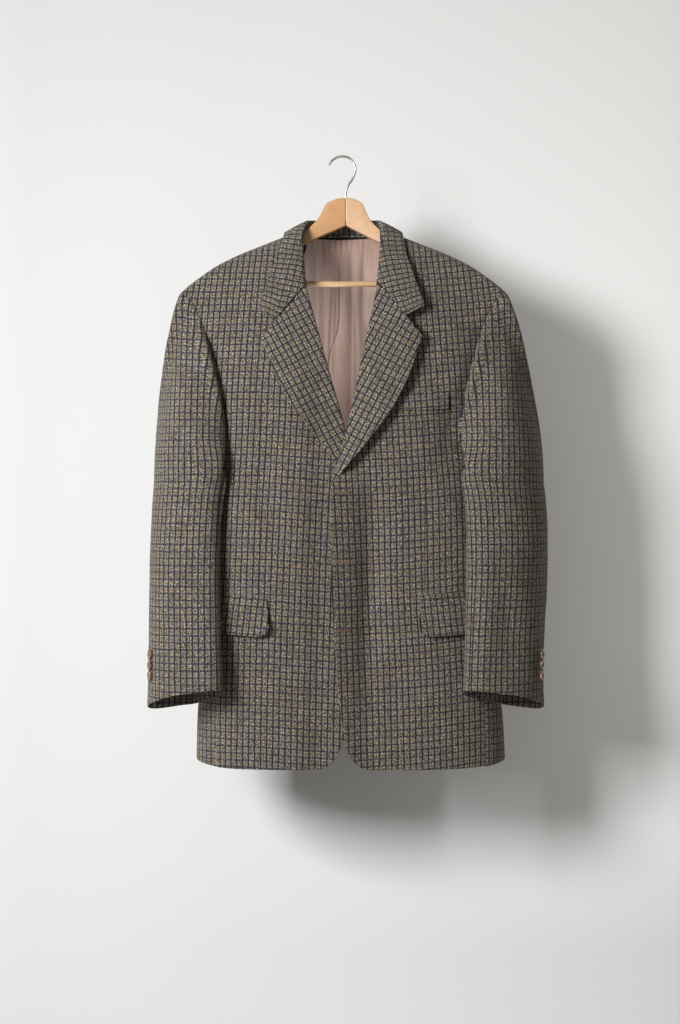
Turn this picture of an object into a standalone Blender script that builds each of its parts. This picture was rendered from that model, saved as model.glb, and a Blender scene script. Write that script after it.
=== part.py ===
"""A single-breasted blazer in checked wool, hanging open on a wooden hanger. Metres, +Z up.

The origin is the inside top of the hanger's hook. +X is the viewer's right and +Y the jacket's back.
Side -1 is the viewer's left, which is the wearer's right.
"""

import math
from collections import namedtuple

import bmesh
import bpy
import numpy as np

# Walls and gaps
CLOTH_WALL = 0.0020
LAPEL_WALL = 0.0020
COLLAR_WALL = 0.0020
FLAP_WALL = 0.0018
LINING_WALL = 0.0010
SEAM_GAP = 0.0004
TINY = 1e-9
KEY_DIGITS = 5
SHARP_ANGLE = 40.0

# Shoulders: the ridge runs forward from the neck to the sleeve head
HALF_SHOULDER = 0.2345
NECK_POINT = 0.078
RIDGE_FORWARD = 0.040
RIDGE_POWER = 1.5
RIDGE_ROUND = 0.010
CHEST_REACH = 0.070
BACK_NECK_ONSET = 0.005
BACK_NECK_FULLNESS = 0.018
BACK_NECK_HALF = 0.070
BACK_NECK_FADE = 0.100

# Body levels
ARMHOLE_FOOT = -0.436
ARMHOLE_SIDE = -0.425
BREAK_HEIGHT = -0.482
BREAK_ABOVE = 0.012
BREAK_BELOW = 0.004
CORNER_HEIGHT = -0.830
FRONT_HEM = -0.8845
SIDE_HEM = -0.876
BACK_HEM = -0.860
FRONT_HEM_TURN = 55.0
BACK_HEM_TURN = 70.0
HEM_HALF_WIDTH = 0.240
HEM_CORNER_WIDTH = 0.038
HEM_CORNER_TURN = 45.0
UNDERLAP = 0.0080
UNDERLAP_FADE = 0.035
UNDERLAP_EDGE = 0.030
UNDERLAP_TOP = -0.300
UNDERLAP_FULL = -0.385
FRONT_SEAM_TURN = 36.0
BACK_SEAM_TURN = 38.0

# Lapel and collar
GORGE_HEIGHT = -0.193
LAPEL_FOOT = -0.474
LAPEL_RISE = 0.0036
LAPEL_ROLL = 0.0032
LAPEL_ROLL_TURN = 130.0
LAPEL_LIFT = {-1: 0.0060, 1: 0.0120}
LAPEL_LIFT_FOOT = {-1: 0.90, 1: 1.0}
LAPEL_LIFT_FULL = {-1: 0.35, 1: 0.84}
LAPEL_GAP = 0.001
FRONT_TUCK = 0.0040
COLLAR_CLEAR = 0.0023
COLLAR_ROLL = 0.0034
COLLAR_BELLY = 0.0015
GORGE_DROP = {-1: 0.0045, 1: 0.0}
COLLAR_LEAN = (0.50, 0.74)
COLLAR_DROP_START = 0.66
COLLAR_LIE_START = 0.62

# Sleeve
SLEEVE_TOP_RING = -0.475
SLEEVE_GAP = 0.0115
SLEEVE_SQUARE = 2.6
CLEAR_SIDE = 0.045
CLEAR_FRONT = 0.085
CUFF_HEIGHT = -0.784
CUFF_SLOPE = 0.016
CUFF_LOW_TURN = 320.0
CAP_TANGENT = 0.34
CAP_OUTWARD = 0.58
CAP_FORWARD = 0.30
CAP_DOWNWARD = 0.75
CAP_FREE = 0.14
CAP_FULLNESS = 0.012
CAP_FULL_REACH = 0.42
CAP_FULL_OUT = 0.4
CAP_FULL_POWER = 0.7
CAP_HALF_DEPTH = 0.09
CAP_ARRIVAL = 0.9
UNDERARM_BLEND = 0.004
CAP_NOSE = 0.0035
CAP_NOSE_TURN = 0.365
CAP_NOSE_WIDTH = 0.042
TOP_SEAM_FRONT = 0.43
TOP_SEAM_BACK = 0.90
FOLD_SHARP = 0.30
FOLD_FLAT = 0.05

# Pockets
FLAP_TOP = -0.640
FLAP_DEPTH = 0.053
FLAP_LENGTH = 0.142
FLAP_FRONT = 0.109
FLAP_RISE = 0.0040
FLAP_CLEAR = 0.0009
FLAP_CORNER = 0.016
FLAP_SLOPE = 0.07
FLAP_SLOPE_REACH = 0.03
FLAP_CURVE = 1.5
POCKET_FIRST_TURN = -80.0
POCKET_LAST_TURN = 40.0
POCKET_SEARCH = 400
JET_DEPTH = 0.006
JET_WALL = 0.0012
WELT_INNER = 0.068
WELT_OUTER = 0.150
WELT_TOP = -0.350
WELT_SLOPE = 0.03
WELT_DEPTH = 0.024
WELT_CLEAR = 0.0013

# Buttons
CUFF_BUTTON_RADIUS = 0.0072
CUFF_BUTTON_WALL = 0.0030
CUFF_BUTTON_PITCH = 0.0150
CUFF_BUTTON_RISE = 0.034
CUFF_BUTTONS = 3
FRONT_BUTTON_RADIUS = 0.0100
FRONT_BUTTON_WALL = 0.0032
FRONT_BUTTON_TOP = -0.491
FRONT_BUTTON_PITCH = 0.097
FRONT_BUTTONS = 3
BUTTON_CLEAR = 0.0006
BUTTON_SIDES = 16
CUFF_BUTTON_TURN = 0.088
CUFF_BUTTON_STEP = 0.010

# Lining
LINING_TOP = -0.1160
LINING_FOOT = -0.842
LINING_HALF = 0.150
LINING_CLEAR = 0.0028
PLEAT_DEPTH = 0.007
PLEAT_RISE = 0.045
PLEAT_FALL = 0.004
PLEAT_START = 0.10
PLEAT_END = 0.80
LINING_NECK = 0.36
LINING_SPREAD = 0.24
LINING_COLUMNS = 7
LINING_ROWS = 18

# Hanger
ARM_HALF_WALL = 0.0070
HANGER_SHIFT = 0.0036
HANGER_HEAD = 0.040
ARM_EDGE = 0.0022
BAR_RADIUS = 0.0042
BAR_HEIGHT = -0.188
BAR_DEPTH = -0.0295
BAR_HALF = 0.1965
BAR_CLEAR = 0.0004
HOOK_RADIUS = 0.0018
HOOK_STEPS = 25
HOOK_ROUNDNESS = 2
ROD_SIDES = 12

# Grid steps
ARMHOLE_STEPS = 9
FRONT_MIDDLE_ROW = -0.410
BACK_MIDDLE_ROW = -0.420
ROW_CROWDING = 1.45
COLUMN_CROWDING = 1.3
LOWER_STEPS = 11
FRONT_COLUMNS = 10
NECK_COLUMN_SHARE = 0.4
SIDE_COLUMNS = 6
CAP_STEPS = 6
SLEEVE_STEPS = 9
COLLAR_STEPS = 15
COLLAR_STAND_STEPS = 2
COLLAR_ROLL_STEPS = 4
COLLAR_FALL_STEPS = 5
LAPEL_ROWS = 12
LAPEL_COLUMNS = 5
LAPEL_ROLL_STEPS = 4
FLAP_COLUMNS = 11
FLAP_ROWS = 4
FLAP_CROWDING = 1.6
WELT_COLUMNS = 6
WELT_ROWS = 2

Section = namedtuple("Section", "height half_width centre front back power")
BODY = (
    Section(-0.090, 0.252, 0.000, 0.084, 0.066, 2.6),
    Section(-0.300, 0.244, 0.000, 0.088, 0.074, 2.6),
    Section(-0.370, 0.214, 0.000, 0.090, 0.076, 3.2),
    Section(-0.440, 0.190, 0.001, 0.091, 0.076, 4.0),
    Section(-0.520, 0.192, 0.002, 0.090, 0.074, 4.4),
    Section(-0.600, 0.198, 0.004, 0.089, 0.073, 4.4),
    Section(-0.700, 0.208, 0.006, 0.089, 0.075, 3.8),
    Section(-0.790, 0.220, 0.009, 0.088, 0.078, 3.2),
    Section(-0.890, 0.2255, 0.011, 0.086, 0.080, 2.8),
)

Shoulder = namedtuple("Shoulder", "out height")
SHOULDER = (
    Shoulder(0.000, -0.098),
    Shoulder(0.072, -0.112),
    Shoulder(0.118, -0.130),
    Shoulder(0.161, -0.149),
    Shoulder(0.187, -0.1635),
    Shoulder(0.205, -0.1765),
    Shoulder(0.2345, -0.2015),
    Shoulder(0.260, -0.232),
)

Armhole = namedtuple("Armhole", "height front back")
ARMHOLE = (
    Armhole(-0.2015, 0.2345, 0.2345),
    Armhole(-0.2100, 0.2225, 0.2270),
    Armhole(-0.2300, 0.2095, 0.2160),
    Armhole(-0.2550, 0.1985, 0.2070),
    Armhole(-0.2890, 0.1880, 0.1980),
    Armhole(-0.3270, 0.1785, 0.1890),
    Armhole(-0.3645, 0.1715, 0.1800),
    Armhole(-0.4030, 0.1685, 0.1690),
    Armhole(-0.4250, 0.1710, 0.1640),
)

Edge = namedtuple("Edge", "height out")
NECK_EDGE = (Edge(-0.114, 0.0780), Edge(-0.132, 0.0700), Edge(-0.155, 0.0620), Edge(-0.193, 0.0550))
ROLL_LINE = (Edge(-0.193, 0.0510), Edge(-0.482, -0.0190))
FRONT_EDGE = (
    Edge(-0.482, -0.0190),
    Edge(-0.585, -0.0175),
    Edge(-0.640, -0.0165),
    Edge(-0.700, -0.0125),
    Edge(-0.780, -0.0070),
    Edge(-0.830, 0.0005),
)
OPENING_LEAN = (Edge(-0.19, -0.003), Edge(-0.30, 0.000), Edge(-0.40, 0.0032), Edge(-0.482, 0.0))

LapelEdge = namedtuple("LapelEdge", "along out height")
LAPEL_EDGE = (
    LapelEdge(0.00, 0.1150, -0.2670),
    LapelEdge(0.32, 0.0830, -0.3470),
    LapelEdge(0.66, 0.0360, -0.4140),
    LapelEdge(1.00, -0.0125, -0.4720),
)

Rib = namedtuple("Rib", "along roll seam edge dip")
COLLAR = (
    Rib(0.00, (0.0000, 0.0300, -0.0890), (0.0000, 0.0290, -0.1130), (0.0000, 0.0500, -0.1300), 0.0),
    Rib(0.20, (0.0250, 0.0260, -0.0900), (0.0300, 0.0255, -0.1130), (0.0410, 0.0460, -0.1300), 0.0),
    Rib(0.38, (0.0425, 0.0130, -0.0925), (0.0530, 0.0135, -0.1115), (0.0720, 0.0280, -0.1250), 0.0),
    Rib(0.52, (0.0515, -0.0065, -0.0975), (0.0655, -0.0070, -0.1075), (0.0850, -0.0080, -0.1165), 0.0),
    Rib(0.66, (0.0565, -0.0270, -0.1160), (0.0655, -0.0275, -0.1210), (0.0910, -0.0370, -0.1380), 0.002),
    Rib(0.82, (0.0555, -0.0445, -0.1520), (0.0615, -0.0430, -0.1555), (0.1035, -0.0575, -0.1790), 0.010),
    Rib(1.00, (0.0510, -0.0616, -0.1920), (0.0550, -0.0595, -0.1935), (0.1185, -0.0730, -0.2235), 0.028),
)
COLLAR_NOTCH = 0.6

SleeveRing = namedtuple("SleeveRing", "height out forward long short turn")
SLEEVE = (
    SleeveRing(-0.475, 0.2215, 0.036, 0.0700, 0.0475, 60.0),
    SleeveRing(-0.540, 0.2255, 0.044, 0.0665, 0.0455, 54.0),
    SleeveRing(-0.600, 0.2275, 0.054, 0.0630, 0.0420, 46.0),
    SleeveRing(-0.680, 0.2265, 0.069, 0.0605, 0.0380, 37.0),
    SleeveRing(-0.790, 0.2245, 0.088, 0.0600, 0.0320, 27.0),
)
SLEEVE_SPREAD = {-1: 0.0, 1: 0.0025}
SLEEVE_BREADTH = {-1: 0.0, 1: 0.0050}
SLEEVE_BOW = {-1: 0.0, 1: 0.0068}
BOW_TOP = -0.250

Fold = namedtuple("Fold", "out top foot width depth")
FRONT_FOLDS = {
    -1: (Fold(0.114, -0.260, -0.600, 0.022, 0.0045), Fold(0.060, -0.640, -0.880, 0.030, 0.0030)),
    1: (
        Fold(0.152, -0.330, -0.500, 0.020, 0.0070),
        Fold(0.037, -0.420, -0.840, 0.017, 0.0100),
        Fold(0.112, -0.420, -0.620, 0.024, 0.0030),
        Fold(0.070, -0.650, -0.880, 0.032, 0.0035),
    ),
}
BACK_FOLDS = (Fold(0.125, -0.240, -0.560, 0.028, 0.0060), Fold(0.070, -0.600, -0.870, 0.032, 0.0045))

ButtonRim = namedtuple("ButtonRim", "spread height")
BUTTON_RIMS = (
    ButtonRim(0.62, 0.0),
    ButtonRim(0.94, 0.30),
    ButtonRim(1.0, 0.68),
    ButtonRim(0.90, 1.0),
    ButtonRim(0.62, 0.82),
)

ArmLine = namedtuple("ArmLine", "out top foot")
ARM = (
    ArmLine(0.0000, -0.0590, -0.1000),
    ArmLine(0.0120, -0.0605, -0.1058),
    ArmLine(0.0265, -0.0670, -0.1126),
    ArmLine(0.0325, -0.0800, -0.1156),
    ArmLine(0.0390, -0.0930, -0.1188),
    ArmLine(0.0540, -0.1076, -0.1262),
    ArmLine(0.0720, -0.1215, -0.1365),
    ArmLine(0.1180, -0.1410, -0.1590),
    ArmLine(0.1610, -0.1615, -0.1800),
    ArmLine(0.1900, -0.1790, -0.1950),
    ArmLine(0.2060, -0.1930, -0.2020),
)
HOOK_ROUTE = (
    (0.0036, -0.0586),
    (0.0036, -0.0500),
    (0.0066, -0.0415),
    (0.0135, -0.0300),
    (0.0172, -0.0185),
    (0.0150, -0.0080),
    (0.0085, -0.0008),
    (0.0000, 0.0018),
    (-0.0095, 0.0004),
    (-0.0165, -0.0042),
    (-0.0215, -0.0110),
)

COLOURS = {
    "tweed": (0.165, 0.148, 0.125, 0.92, 0.0),
    "lining": (0.330, 0.230, 0.195, 0.45, 0.0),
    "wood": (0.720, 0.470, 0.255, 0.50, 0.0),
    "horn": (0.150, 0.080, 0.045, 0.35, 0.0),
    "steel": (0.620, 0.620, 0.610, 0.28, 1.0),
}


def along(table, column, where):
    """Reads a smooth curve through one column of a table at the values of its first column."""
    rows = sorted(table)
    known = np.array([row[0] for row in rows])
    values = np.array([getattr(row, column) for row in rows], float)
    flat = values.reshape(len(rows), -1)
    slopes = np.stack([np.gradient(flat[:, i], known) for i in range(flat.shape[1])], axis=1)
    where = np.clip(np.asarray(where, float), known[0], known[-1])
    cell = np.clip(np.searchsorted(known, where, side="right") - 1, 0, len(rows) - 2)
    width = known[cell + 1] - known[cell]
    t = ((where - known[cell]) / width)[..., None]
    width = width[..., None]
    read = (
        (2 * t**3 - 3 * t**2 + 1) * flat[cell]
        + (t**3 - 2 * t**2 + t) * width * slopes[cell]
        + (3 * t**2 - 2 * t**3) * flat[cell + 1]
        + (t**3 - t**2) * width * slopes[cell + 1]
    )
    return read if values.ndim > 1 else read[..., 0]


def smoothstep(low, high, value):
    t = np.clip((np.asarray(value, float) - low) / (high - low), 0.0, 1.0)
    return t * t * (3.0 - 2.0 * t)


def mix(a, b, t):
    return a + (b - a) * t


def shoulder_height(x):
    return along(SHOULDER, "height", np.abs(x))


def ridge_depth(x):
    return -RIDGE_FORWARD * (np.abs(x) / HALF_SHOULDER) ** RIDGE_POWER


def section_depth(x, z, column):
    """How far the body's rounded section reaches in front of, or behind, its middle."""
    power = along(BODY, "power", z)
    across = np.abs(x - along(BODY, "centre", z)) / along(BODY, "half_width", z)
    return along(BODY, column, z) * (1.0 - np.clip(across, 0.0, 1.0) ** power) ** (1.0 / power)


def fold_depth(folds, x, z):
    """Soft upright troughs, deepest half way down."""
    deep = np.zeros(np.broadcast(x, z).shape)
    for fold in folds:
        run = np.clip((fold.top - z) / (fold.top - fold.foot), 0.0, 1.0)
        deep = deep + fold.depth * np.exp(-(((x - fold.out) / fold.width) ** 2)) * np.sin(math.pi * run) ** 2
    return deep


def panel_depth(x, z, facing):
    """Y of the body's outer face at x and z: facing -1 is the front and 1 the back."""
    drop = np.maximum(shoulder_height(x) - z, 0.0)
    below = 1.0 - np.exp(-drop / CHEST_REACH)
    lip = np.sqrt(1.0 - (1.0 - np.minimum(drop / RIDGE_ROUND, 1.0)) ** 2) * (1.0 - below) ** 2
    full = section_depth(x, z, "front" if facing < 0 else "back")
    y = ridge_depth(x) * (1.0 - below) + facing * (full * below + RIDGE_ROUND * lip)
    if facing > 0:
        neck = np.exp(-((x / BACK_NECK_HALF) ** 2) - drop / BACK_NECK_FADE)
        y = y + BACK_NECK_FULLNESS * neck * np.minimum(drop / BACK_NECK_ONSET, 1.0)
    return y


def front_depth(x, z, side):
    """Y of a front panel: its folds go in, and the front that lies underneath is set back."""
    y = panel_depth(x, z, -1) + fold_depth(FRONT_FOLDS[side], side * x, z)
    if side < 0:
        across = smoothstep(-UNDERLAP_FADE - UNDERLAP_EDGE, -UNDERLAP_EDGE, x)
        y = y + UNDERLAP * across * smoothstep(UNDERLAP_TOP, UNDERLAP_FULL, z)
    return y


def back_depth(x, z):
    return panel_depth(x, z, 1) - fold_depth(BACK_FOLDS, np.abs(x), z)


def ring_x(turn, z, side):
    """X on the body's section: turn -90 is the middle front, 0 the side and 90 the middle back."""
    power = along(BODY, "power", z)
    reach = np.abs(np.cos(np.radians(turn))) ** (2.0 / power)
    return along(BODY, "centre", z) + side * along(BODY, "half_width", z) * reach


def seam_x(z, side, facing):
    """X of the seam between a side panel and the front or the back."""
    turn = FRONT_SEAM_TURN if facing < 0 else BACK_SEAM_TURN
    return ring_x(np.full(np.shape(z), turn), z, side)


def armhole_run(side, facing, steps):
    """Points of the armhole from the shoulder tip down to the side panel, on the front or the back."""
    share = np.linspace(0.0, 1.0, steps + 1) ** ROW_CROWDING
    z = mix(ARMHOLE[0].height, ARMHOLE_SIDE, share)
    x = side * along(ARMHOLE, "front" if facing < 0 else "back", z)
    x[-1] = seam_x(z[-1:], side, facing)[0]
    y = front_depth(x, z, side) if facing < 0 else back_depth(x, z)
    y[0] = ridge_depth(x[0])
    return np.stack([x, y, z], axis=1)


def armhole_foot(side, steps):
    """Points of the armhole under the arm, across the top of the side panel from front to back."""
    turn = np.linspace(-FRONT_SEAM_TURN, BACK_SEAM_TURN, steps + 1)
    share = np.linspace(0.0, 1.0, steps + 1)
    z = ARMHOLE_SIDE + (ARMHOLE_FOOT - ARMHOLE_SIDE) * np.sin(math.pi * share)
    return side_points(turn, z, side)


def side_points(turn, z, side):
    x = ring_x(turn, z, side)
    front = front_depth(x, z, side)
    back = back_depth(x, z)
    return np.stack([x, np.where(turn < 0, front, back), z], axis=-1)


def hem_height(turn):
    """Height of the hem round the body, from the middle front at -90 to the middle back at 90."""
    front = mix(SIDE_HEM, FRONT_HEM, smoothstep(0.0, FRONT_HEM_TURN, -turn))
    back = mix(SIDE_HEM, BACK_HEM, smoothstep(0.0, BACK_HEM_TURN, turn))
    return np.where(turn < 0, front, back)


def opening_lean(z):
    return along(OPENING_LEAN, "out", z)


def roll_x(z, side):
    """X of the lapel's roll line, where the front turns over."""
    return side * along(ROLL_LINE, "out", z) + opening_lean(z)


def front_edge_x(z, side):
    return side * along(FRONT_EDGE, "out", z)


def front_inner(side, z):
    """X of a front's free edge: down the neck, the roll line and the front edge to the hem's corner."""
    neck = side * along(NECK_EDGE, "out", z) + opening_lean(z)
    rolled = roll_x(z, side) + side * FRONT_TUCK
    drop = np.clip((CORNER_HEIGHT - z) / (CORNER_HEIGHT - FRONT_HEM), 0.0, 1.0)
    corner = side * HEM_CORNER_WIDTH * (1.0 - np.sqrt(1.0 - drop**2))
    closing = smoothstep(BREAK_HEIGHT + BREAK_ABOVE, BREAK_HEIGHT - BREAK_BELOW, z)
    lower = mix(rolled, front_edge_x(z, side), closing) + corner
    return np.where(z > GORGE_HEIGHT, neck, lower)


def hem_corner_height(x, side):
    """Height of a front's lower edge: it rises in a round corner near the front edge."""
    edge = front_edge_x(np.array(CORNER_HEIGHT), side)
    near = np.clip(side * (x - edge) / HEM_CORNER_WIDTH, 0.0, 1.0)
    return (CORNER_HEIGHT - FRONT_HEM) * (1.0 - np.sqrt(1.0 - (1.0 - near) ** 2))


def front_grid(side, arm_steps, low_steps, columns):
    """Outer points of a front: rows run down from the shoulder seam, columns out from the free edge."""
    arm = armhole_run(side, -1, arm_steps)
    low_share = np.linspace(0.0, 1.0, low_steps + 1)[1:]
    side_turn = -FRONT_SEAM_TURN
    foot_z = float(hem_height(np.array(side_turn)))
    outer_z = np.concatenate([arm[:, 2], mix(ARMHOLE_SIDE, foot_z, low_share)])
    outer_x = np.concatenate([arm[:, 0], seam_x(outer_z[arm_steps + 1 :], side, -1)])
    corner = CORNER_HEIGHT + (FRONT_HEM - CORNER_HEIGHT) * math.sin(math.radians(HEM_CORNER_TURN))
    neck_z = shoulder_height(NECK_POINT)
    arm_share = np.linspace(0.0, 1.0, arm_steps + 1) ** ROW_CROWDING
    upper_z = mix(neck_z, FRONT_MIDDLE_ROW, arm_share)
    inner_z = np.concatenate([upper_z, mix(FRONT_MIDDLE_ROW, corner, low_share)])
    inner_x = front_inner(side, inner_z)
    inner_x[0] = side * NECK_POINT
    across = (np.linspace(0.0, 1.0, columns + 1) ** COLUMN_CROWDING)[None, :]
    x = mix(inner_x[:, None], outer_x[:, None], across)
    straight = mix(inner_z[:, None], outer_z[:, None], across)
    inner_drop = shoulder_height(inner_x) - inner_z
    outer_drop = shoulder_height(outer_x) - outer_z
    inner_drop[0] = outer_drop[0] = 0.0
    sloped = shoulder_height(x) - mix(inner_drop[:, None], outer_drop[:, None], across)
    rows = np.arange(len(outer_z))
    level = smoothstep(0, arm_steps, rows)[:, None]
    z = mix(sloped, straight, level)
    foot = hem_height(np.degrees(-np.arccos(np.clip(np.abs(x[-1]) / HEM_HALF_WIDTH, 0.0, 1.0))))
    z[-1] = np.maximum(foot, FRONT_HEM) + hem_corner_height(x[-1], side)
    z[-1, -1] = outer_z[-1]
    y = front_depth(x, z, side)
    y[0] = ridge_depth(x[0])
    grid = np.stack([x, y, z], axis=-1)
    grid[: arm_steps + 1, -1] = arm
    grid[arm_steps:, -1] = side_points(np.full(low_steps + 1, side_turn), outer_z[arm_steps:], side)
    return grid


def back_grid(side, arm_steps, low_steps, columns):
    """Outer points of half the back: rows run down from the neck and shoulder, columns out from the middle.

    The columns beyond the neck meet those of the front along the shoulder seam.
    """
    arm = armhole_run(side, 1, arm_steps)
    low_share = np.linspace(0.0, 1.0, low_steps + 1)[1:]
    foot_z = float(hem_height(np.array(BACK_SEAM_TURN)))
    outer_z = np.concatenate([arm[:, 2], mix(ARMHOLE_SIDE, foot_z, low_share)])
    outer_x = np.concatenate([arm[:, 0], seam_x(outer_z[arm_steps + 1 :], side, 1)])
    neck_z = float(shoulder_height(NECK_POINT))
    arm_share = np.linspace(0.0, 1.0, arm_steps + 1) ** ROW_CROWDING
    upper_z = mix(neck_z, BACK_MIDDLE_ROW, arm_share)
    inner_z = np.concatenate([upper_z, mix(BACK_MIDDLE_ROW, BACK_HEM, low_share)])
    neck_share = NECK_POINT / HALF_SHOULDER
    neck_columns = round(columns * NECK_COLUMN_SHARE)
    neck_across = np.linspace(0.0, neck_share, neck_columns + 1)[:-1]
    shoulder_across = mix(neck_share, 1.0, np.linspace(0.0, 1.0, columns + 1) ** COLUMN_CROWDING)
    across = np.concatenate([neck_across, shoulder_across])[None, :]
    x = outer_x[:, None] * across
    straight = mix(inner_z[:, None], outer_z[:, None], across)
    neck_drop = np.maximum(shoulder_height(x) - neck_z, 0.0)
    inner_drop = neck_z - inner_z
    outer_drop = shoulder_height(outer_x) - outer_z
    outer_drop[0] = 0.0
    sloped = shoulder_height(x) - neck_drop - mix(inner_drop[:, None], outer_drop[:, None], across)
    level = smoothstep(0, arm_steps, np.arange(len(outer_z)))[:, None]
    z = mix(sloped, straight, level)
    y = back_depth(x, z)
    grid = np.stack([x, y, z], axis=-1)
    grid[: arm_steps + 1, -1] = arm
    grid[arm_steps:, -1] = side_points(np.full(low_steps + 1, BACK_SEAM_TURN), outer_z[arm_steps:], side)
    return grid


def side_grid(side, low_steps, columns):
    """Outer points of the panel under the arm: rows run down, columns from front to back."""
    top = armhole_foot(side, columns)
    turn = np.linspace(-FRONT_SEAM_TURN, BACK_SEAM_TURN, columns + 1)[None, :]
    share = np.linspace(0.0, 1.0, low_steps + 1)[:, None]
    z = mix(top[None, :, 2], hem_height(turn), share)
    return side_points(np.broadcast_to(turn, z.shape), z, side)


def armhole_loop(side, arm_steps, columns):
    """The whole armhole: tip, down the front, under the arm, and up the back to the point before the tip."""
    front = armhole_run(side, -1, arm_steps)
    foot = armhole_foot(side, columns)
    back = armhole_run(side, 1, arm_steps)[::-1]
    return np.concatenate([front, foot[1:], back[1:-1]])


def loop_turns(loop):
    """How far round a closed loop each point lies, as a share of its length."""
    closed = np.concatenate([loop, loop[:1]])
    length = np.concatenate([[0.0], np.cumsum(np.linalg.norm(np.diff(closed, axis=0), axis=1))])
    return length[:-1] / length[-1]


def clear_of_body(points, gap):
    """Pushes points inside the body's section out to a gap from it, straight forward at the front."""
    z = points[..., 2]
    centre = along(BODY, "centre", z)
    half = along(BODY, "half_width", z) + gap
    power = along(BODY, "power", z)
    depth = np.where(points[..., 1] < 0, along(BODY, "front", z), along(BODY, "back", z)) + gap
    x = points[..., 0] - centre
    y = points[..., 1]
    inside = (np.abs(x) / half) ** power + (np.abs(y) / depth) ** power
    push = np.where(inside < 1.0, np.maximum(inside, TINY) ** (-1.0 / power), 1.0)
    ahead = -depth * (1.0 - np.clip(np.abs(x) / half, 0.0, 1.0) ** power) ** (1.0 / power)
    forward = smoothstep(CLEAR_SIDE, CLEAR_FRONT, -y) * (inside < 1.0)
    return np.stack([centre + mix(x * push, x, forward), mix(y * push, ahead, forward), z], axis=-1)


def squared(reach, most):
    """Draws an oval out towards its corners, with its sides left in place."""
    return np.sign(reach) * most * (np.abs(reach) / most) ** (2.0 / SLEEVE_SQUARE)


def sleeve_ring(side, turns, z):
    """Points of a sleeve's section at one or more heights: turn 0 faces outward and 0.25 the front."""
    bow = SLEEVE_BOW[side] * np.sin(math.pi * smoothstep(BOW_TOP, CUFF_HEIGHT, z))
    out = along(SLEEVE, "out", z) + SLEEVE_SPREAD[side] + bow
    lean = np.radians(along(SLEEVE, "turn", z))
    long_half = along(SLEEVE, "long", z) + SLEEVE_BREADTH[side]
    short_half = along(SLEEVE, "short", z)
    start = np.arctan2(short_half * np.sin(lean), long_half * np.cos(lean))
    angle = start + 2.0 * math.pi * turns
    a = long_half * np.cos(angle)
    b = short_half * np.sin(angle)
    wide = np.hypot(long_half * np.cos(lean), short_half * np.sin(lean))
    deep = np.hypot(long_half * np.sin(lean), short_half * np.cos(lean))
    x = side * (out + squared(a * np.cos(lean) + b * np.sin(lean), wide) * (1.0 + bow / wide))
    y = -along(SLEEVE, "forward", z) + squared(a * np.sin(lean) - b * np.cos(lean), deep)
    points = np.stack(np.broadcast_arrays(x, y, z), axis=-1)
    return clear_of_body(points, SLEEVE_GAP)


def sleeve_grid(side, arm_steps, columns, cap_steps, steps):
    """Outer points of the whole sleeve: rows run down to the cuff, columns round it from the tip."""
    loop = armhole_loop(side, arm_steps, columns)
    turns = loop_turns(loop)
    ring = sleeve_ring(side, turns, np.full(len(turns), SLEEVE_TOP_RING))
    reach = np.linalg.norm(ring - loop, axis=1)[:, None]
    swell = (loop[:, 1] - loop[:, 1].mean()) / CAP_HALF_DEPTH
    upper = smoothstep(ARMHOLE_SIDE, ARMHOLE_SIDE + CAP_FREE, loop[:, 2])
    downward = np.full(len(loop), -CAP_DOWNWARD)
    leave = np.stack([side * CAP_OUTWARD * upper, CAP_FORWARD * swell, downward], axis=1)
    leave = leave * reach * CAP_TANGENT
    arrive = np.array([0.0, 0.0, -1.0]) * reach * CAP_ARRIVAL
    ahead = np.sin(math.pi * np.clip(turns / CAP_FULL_REACH, 0.0, 1.0)) ** CAP_FULL_POWER
    behind = np.sin(math.pi * np.clip((1.0 - turns) / CAP_FULL_REACH, 0.0, 1.0)) ** CAP_FULL_POWER
    nose = CAP_NOSE * np.exp(-(((turns - CAP_NOSE_TURN) / CAP_NOSE_WIDTH) ** 2))
    spread = side * (CAP_FULLNESS * CAP_FULL_OUT * (ahead + behind) * upper - nose)
    fullness = np.stack([spread, CAP_FULLNESS * (behind - ahead) - nose, 0.0 * turns], axis=1)
    rows = []
    for t in np.linspace(0.0, 1.0, cap_steps + 1):
        row = (
            (2 * t**3 - 3 * t**2 + 1) * loop
            + (t**3 - 2 * t**2 + t) * leave
            + (3 * t**2 - 2 * t**3) * ring
            + (t**3 - t**2) * arrive
            + math.sin(math.pi * t) * fullness
        )
        under = smoothstep(ARMHOLE_SIDE, ARMHOLE_SIDE - UNDERARM_BLEND, row[:, 2])[:, None]
        rows.append(mix(row, clear_of_body(row, SLEEVE_GAP * t), under) if t > 0.0 else loop)
    cuff = CUFF_HEIGHT - CUFF_SLOPE * np.cos(2.0 * math.pi * (turns - CUFF_LOW_TURN / 360.0))
    for t in np.linspace(0.0, 1.0, steps + 1)[1:]:
        rows.append(sleeve_ring(side, turns, mix(SLEEVE_TOP_RING, cuff, t)))
    return np.stack(rows)


def grid_normals(grid):
    """Unit normals of a grid of points, columns crossed with rows."""
    normal = np.cross(np.gradient(grid, axis=1), np.gradient(grid, axis=0))
    return normal / np.maximum(np.linalg.norm(normal, axis=-1, keepdims=True), TINY)


def point_key(point):
    return tuple(np.round(point, KEY_DIGITS) + 0.0)


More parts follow.
